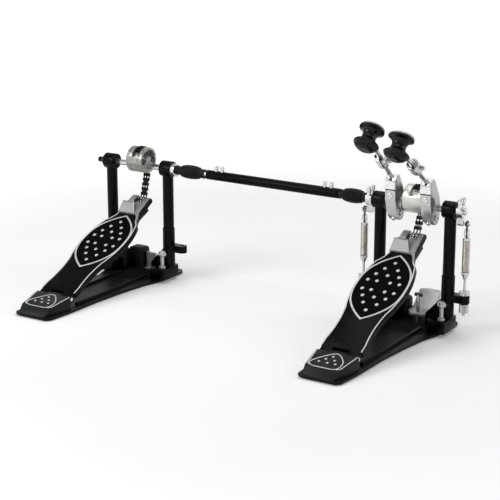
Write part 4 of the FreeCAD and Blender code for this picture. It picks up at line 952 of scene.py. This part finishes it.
def dress_seals(pedal):
    # Dark rings that close each bearing on the side of the cam.
    rings = []
    for side in (-1, 1):
        post = PEDALS[pedal][0] + side * POST_X
        rings.append(ring_x(sorted((post - side * SEAL_DEEP, post - side * SEAL_OUT)), SEAL_R, SEAL_IN_R))
    add_piece(pedal + "_bearing_seals", pedal + "_frame", BLACK, rings)


def dress_tab():
    x = PEDALS["slave"][0]
    bracket = prism_x(TAB_SIDE, x + TAB_X0, x + TAB_X1)
    add_piece("slave_tab_bracket", "slave_frame", TOE, [bracket], rounded=0.6)


def dress_clamp():
    low, high = (0.0, -HANDLE_HALF), (0.0, HANDLE_HALF)
    rim, crown = HANDLE_HALF - HANDLE_RIM, HANDLE_HALF - HANDLE_CROWN
    dip, round_r = HANDLE_R * HANDLE_DIP_SHARE, HANDLE_R * HANDLE_ROUND_SHARE
    grip = curved((low, (round_r, -crown), (HANDLE_R, -rim)),
                  ((HANDLE_R, -rim), (dip, 0.0), (HANDLE_R, rim)),
                  ((HANDLE_R, rim), (round_r, crown), high), count=8)
    grip[0], grip[-1] = low, high
    grip = moved(along_x(lathe(grip, 28)), CLAMP_X, CLAMP_SCREW_Y, HANDLE_Z)
    add_piece("hoop_clamp_grip", "hoop_clamp_screw", DARK, [grip], smooth=50)


dress_rocker("right", 1)
dress_rocker("left", -1)
for pedal in PEDALS:
    dress_cam(pedal)
    dress_posts(pedal)
    dress_mat(pedal)
    dress_pad(pedal)
    dress_seals(pedal)
    for word, side in (("left", -1), ("right", 1)):
        dress_spur(pedal, word, side)
dress_collar()
dress_tab()
dress_clamp()


# Carried-over solids

ROUNDED = {"base_plate": 0.5, "heel_plate": 1.6, "post_": 1.0, "footboard": 0.9, "toe_plate": 0.6, "cam": 0.8,
           "hub": 0.9, "rocker": 0.6, "hoop_clamp_jaw": 0.7, "drive_tube": 0.8, "axle": 0.4}
UNROUNDED = ("hub_shaft", "tube_bolts", "clamp_screw")
LOOKS = {"heel_plate": SLATE, "base_plate": PLATE, "_post_": POST}
OWN_LOOKS = {"right_hub": HUB, "left_hub": HUB, "slave_cam": SHADED_CAM}
WELD_NEAR, FLAT_DEG, SMOOTH_DEG, ROUND_SEGMENTS = 0.002, 0.6, 35, 3


def soften(obj, width):
    # Joins the solid's facets and rounds its sharp edges.
    weld = obj.modifiers.new("weld", "WELD")
    weld.merge_threshold = WELD_NEAR * MM
    flat = obj.modifiers.new("flat_faces", "DECIMATE")
    flat.decimate_type = "DISSOLVE"
    flat.angle_limit = math.radians(FLAT_DEG)
    round_edges(obj, width, ROUND_SEGMENTS)
    obj.modifiers["rounded_edges"].use_clamp_overlap = True


def look_of(node, slot):
    # A word in a node's name or the whole name comes before its slot.
    for word, material in LOOKS.items():
        if word in node:
            return material
    return OWN_LOOKS.get(node, SLOTS[slot])


def dress_solids():
    slots = {part["node"]: part["material_slot"] for part in frame["record"]["subparts"]}
    for node, obj in frame["nodes"].items():
        obj.data.materials.clear()
        obj.data.materials.append(look_of(node, slots[node]))
        shade_by_angle(obj.data, SMOOTH_DEG)
        words = [w for w in ROUNDED if w in node and not any(u in node for u in UNROUNDED)]
        if words:
            soften(obj, ROUNDED[words[0]])


dress_solids()


# Floor, light and camera

CAMERA_AT = (961.3, -1965.7, 734.9)
CAMERA_TARGET = (-254.3, -60.9, 95.5)
CAMERA_LENS, CAMERA_SENSOR = 108.0, 36.0
LAMPS = {"key": ((-1300, -1700, 1500), 1100, 25.0), "top": ((-250, 200, 1900), 1800, 17.0),
         "rim": ((1100, 900, 1200), 900, 4.5)}
FLOOR_HALF = 15000.0
FLOOR_DROP = 0.3
GLOW_NEAR, GLOW_FAR, GLOW_LOW = 500.0, 1900.0, 0.16
FLOOR_DARK, FLOOR_LIGHT, FLOOR_PATCH = (0.84, 0.84, 0.84), (0.88, 0.88, 0.88), 400.0
FLOOR_ROUGH, FLOOR_GLOSS = 0.8, 0.1
AMBIENT = 0.28
SKY_LOW, SKY_HIGH, SKY_DIM = 0.15, 0.75, 0.3


def aim(obj, at, target):
    obj.location = Vector(at) * MM
    obj.rotation_euler = (Vector(target) - Vector(at)).to_track_quat("-Z", "Y").to_euler()


def seen_rays(tree):
    # One for camera, glossy and transmission rays, and zero for the rest.
    path = node_of(tree, "LightPath")
    first = node_of(tree, "Math", operation="MAXIMUM")
    second = node_of(tree, "Math", operation="MAXIMUM")
    tree.links.new(path.outputs["Is Camera Ray"], first.inputs[0])
    tree.links.new(path.outputs["Is Glossy Ray"], first.inputs[1])
    tree.links.new(first.outputs[0], second.inputs[0])
    tree.links.new(path.outputs["Is Transmission Ray"], second.inputs[1])
    return second.outputs[0]


def floor_material():
    material = bpy.data.materials.new("pale_floor")
    material.use_nodes = True
    tree = material.node_tree
    shader = tree.nodes["Principled BSDF"]
    coords = node_of(tree, "TexCoord").outputs["Object"]
    paint = ramp_of(tree, noise_of(tree, coords, FLOOR_PATCH), FLOOR_DARK, FLOOR_LIGHT)
    tree.links.new(paint, shader.inputs["Base Color"])
    set_inputs(shader, {"Roughness": FLOOR_ROUGH, "Specular IOR Level": FLOOR_GLOSS})
    away = node_of(tree, "VectorMath", operation="LENGTH")
    tree.links.new(coords, away.inputs[0])
    glow = node_of(tree, "MapRange", interpolation_type="SMOOTHSTEP")
    set_inputs(glow, {"From Min": GLOW_NEAR * MM, "From Max": GLOW_FAR * MM})
    set_inputs(glow, {"To Min": GLOW_LOW, "To Max": 1.0})
    tree.links.new(away.outputs["Value"], glow.inputs["Value"])
    strength = node_of(tree, "Math", operation="MULTIPLY")
    tree.links.new(glow.outputs["Result"], strength.inputs[0])
    tree.links.new(seen_rays(tree), strength.inputs[1])
    light = node_of(tree, "Emission")
    tree.links.new(strength.outputs[0], light.inputs["Strength"])
    both = node_of(tree, "AddShader")
    tree.links.new(shader.outputs[0], both.inputs[0])
    tree.links.new(light.outputs[0], both.inputs[1])
    tree.links.new(both.outputs[0], tree.nodes["Material Output"].inputs["Surface"])
    return material


def add_floor():
    half, middle = FLOOR_HALF, CAMERA_TARGET[0]
    corners = [(-half, -half, 0), (half, -half, 0), (half, half, 0), (-half, half, 0)]
    mesh = bpy.data.meshes.new("floor")
    mesh.from_pydata([Vector(c) * MM for c in corners], [], [(0, 1, 2, 3)])
    mesh.materials.append(floor_material())
    floor = bpy.data.objects.new("floor", mesh)
    floor.location = Vector((middle, 0, -FLOOR_DROP)) * MM
    bpy.context.scene.collection.objects.link(floor)


def add_world():
    world = bpy.data.worlds.new("studio")
    world.use_nodes = True
    tree = world.node_tree
    back = tree.nodes["Background"]
    height = node_of(tree, "SeparateXYZ")
    tree.links.new(node_of(tree, "TexCoord").outputs["Generated"], height.inputs[0])
    sky = node_of(tree, "MapRange", interpolation_type="SMOOTHSTEP")
    set_inputs(sky, {"From Min": SKY_LOW, "From Max": SKY_HIGH, "To Min": 1.0, "To Max": SKY_DIM})
    tree.links.new(height.outputs["Z"], sky.inputs["Value"])
    strength = node_of(tree, "MapRange")
    strength.inputs["To Min"].default_value = AMBIENT
    tree.links.new(sky.outputs["Result"], strength.inputs["To Max"])
    tree.links.new(seen_rays(tree), strength.inputs["Value"])
    tree.links.new(strength.outputs["Result"], back.inputs["Strength"])
    back.inputs["Color"].default_value = (1, 1, 1, 1)
    bpy.context.scene.world = world


def add_lamps():
    for name, (at, size, power) in LAMPS.items():
        lamp = bpy.data.lights.new(name, "AREA")
        lamp.shape = "SQUARE"
        lamp.size = size * MM
        lamp.energy = power
        obj = bpy.data.objects.new(name, lamp)
        aim(obj, at, CAMERA_TARGET)
        bpy.context.scene.collection.objects.link(obj)


def add_camera():
    data = bpy.data.cameras.new("camera")
    data.lens = CAMERA_LENS
    data.sensor_width = CAMERA_SENSOR
    camera = bpy.data.objects.new("camera", data)
    aim(camera, CAMERA_AT, CAMERA_TARGET)
    bpy.context.scene.collection.objects.link(camera)
    bpy.context.scene.camera = camera


add_floor()
add_world()
add_lamps()
add_camera()
bpy.context.scene.view_settings.view_transform = "Standard"
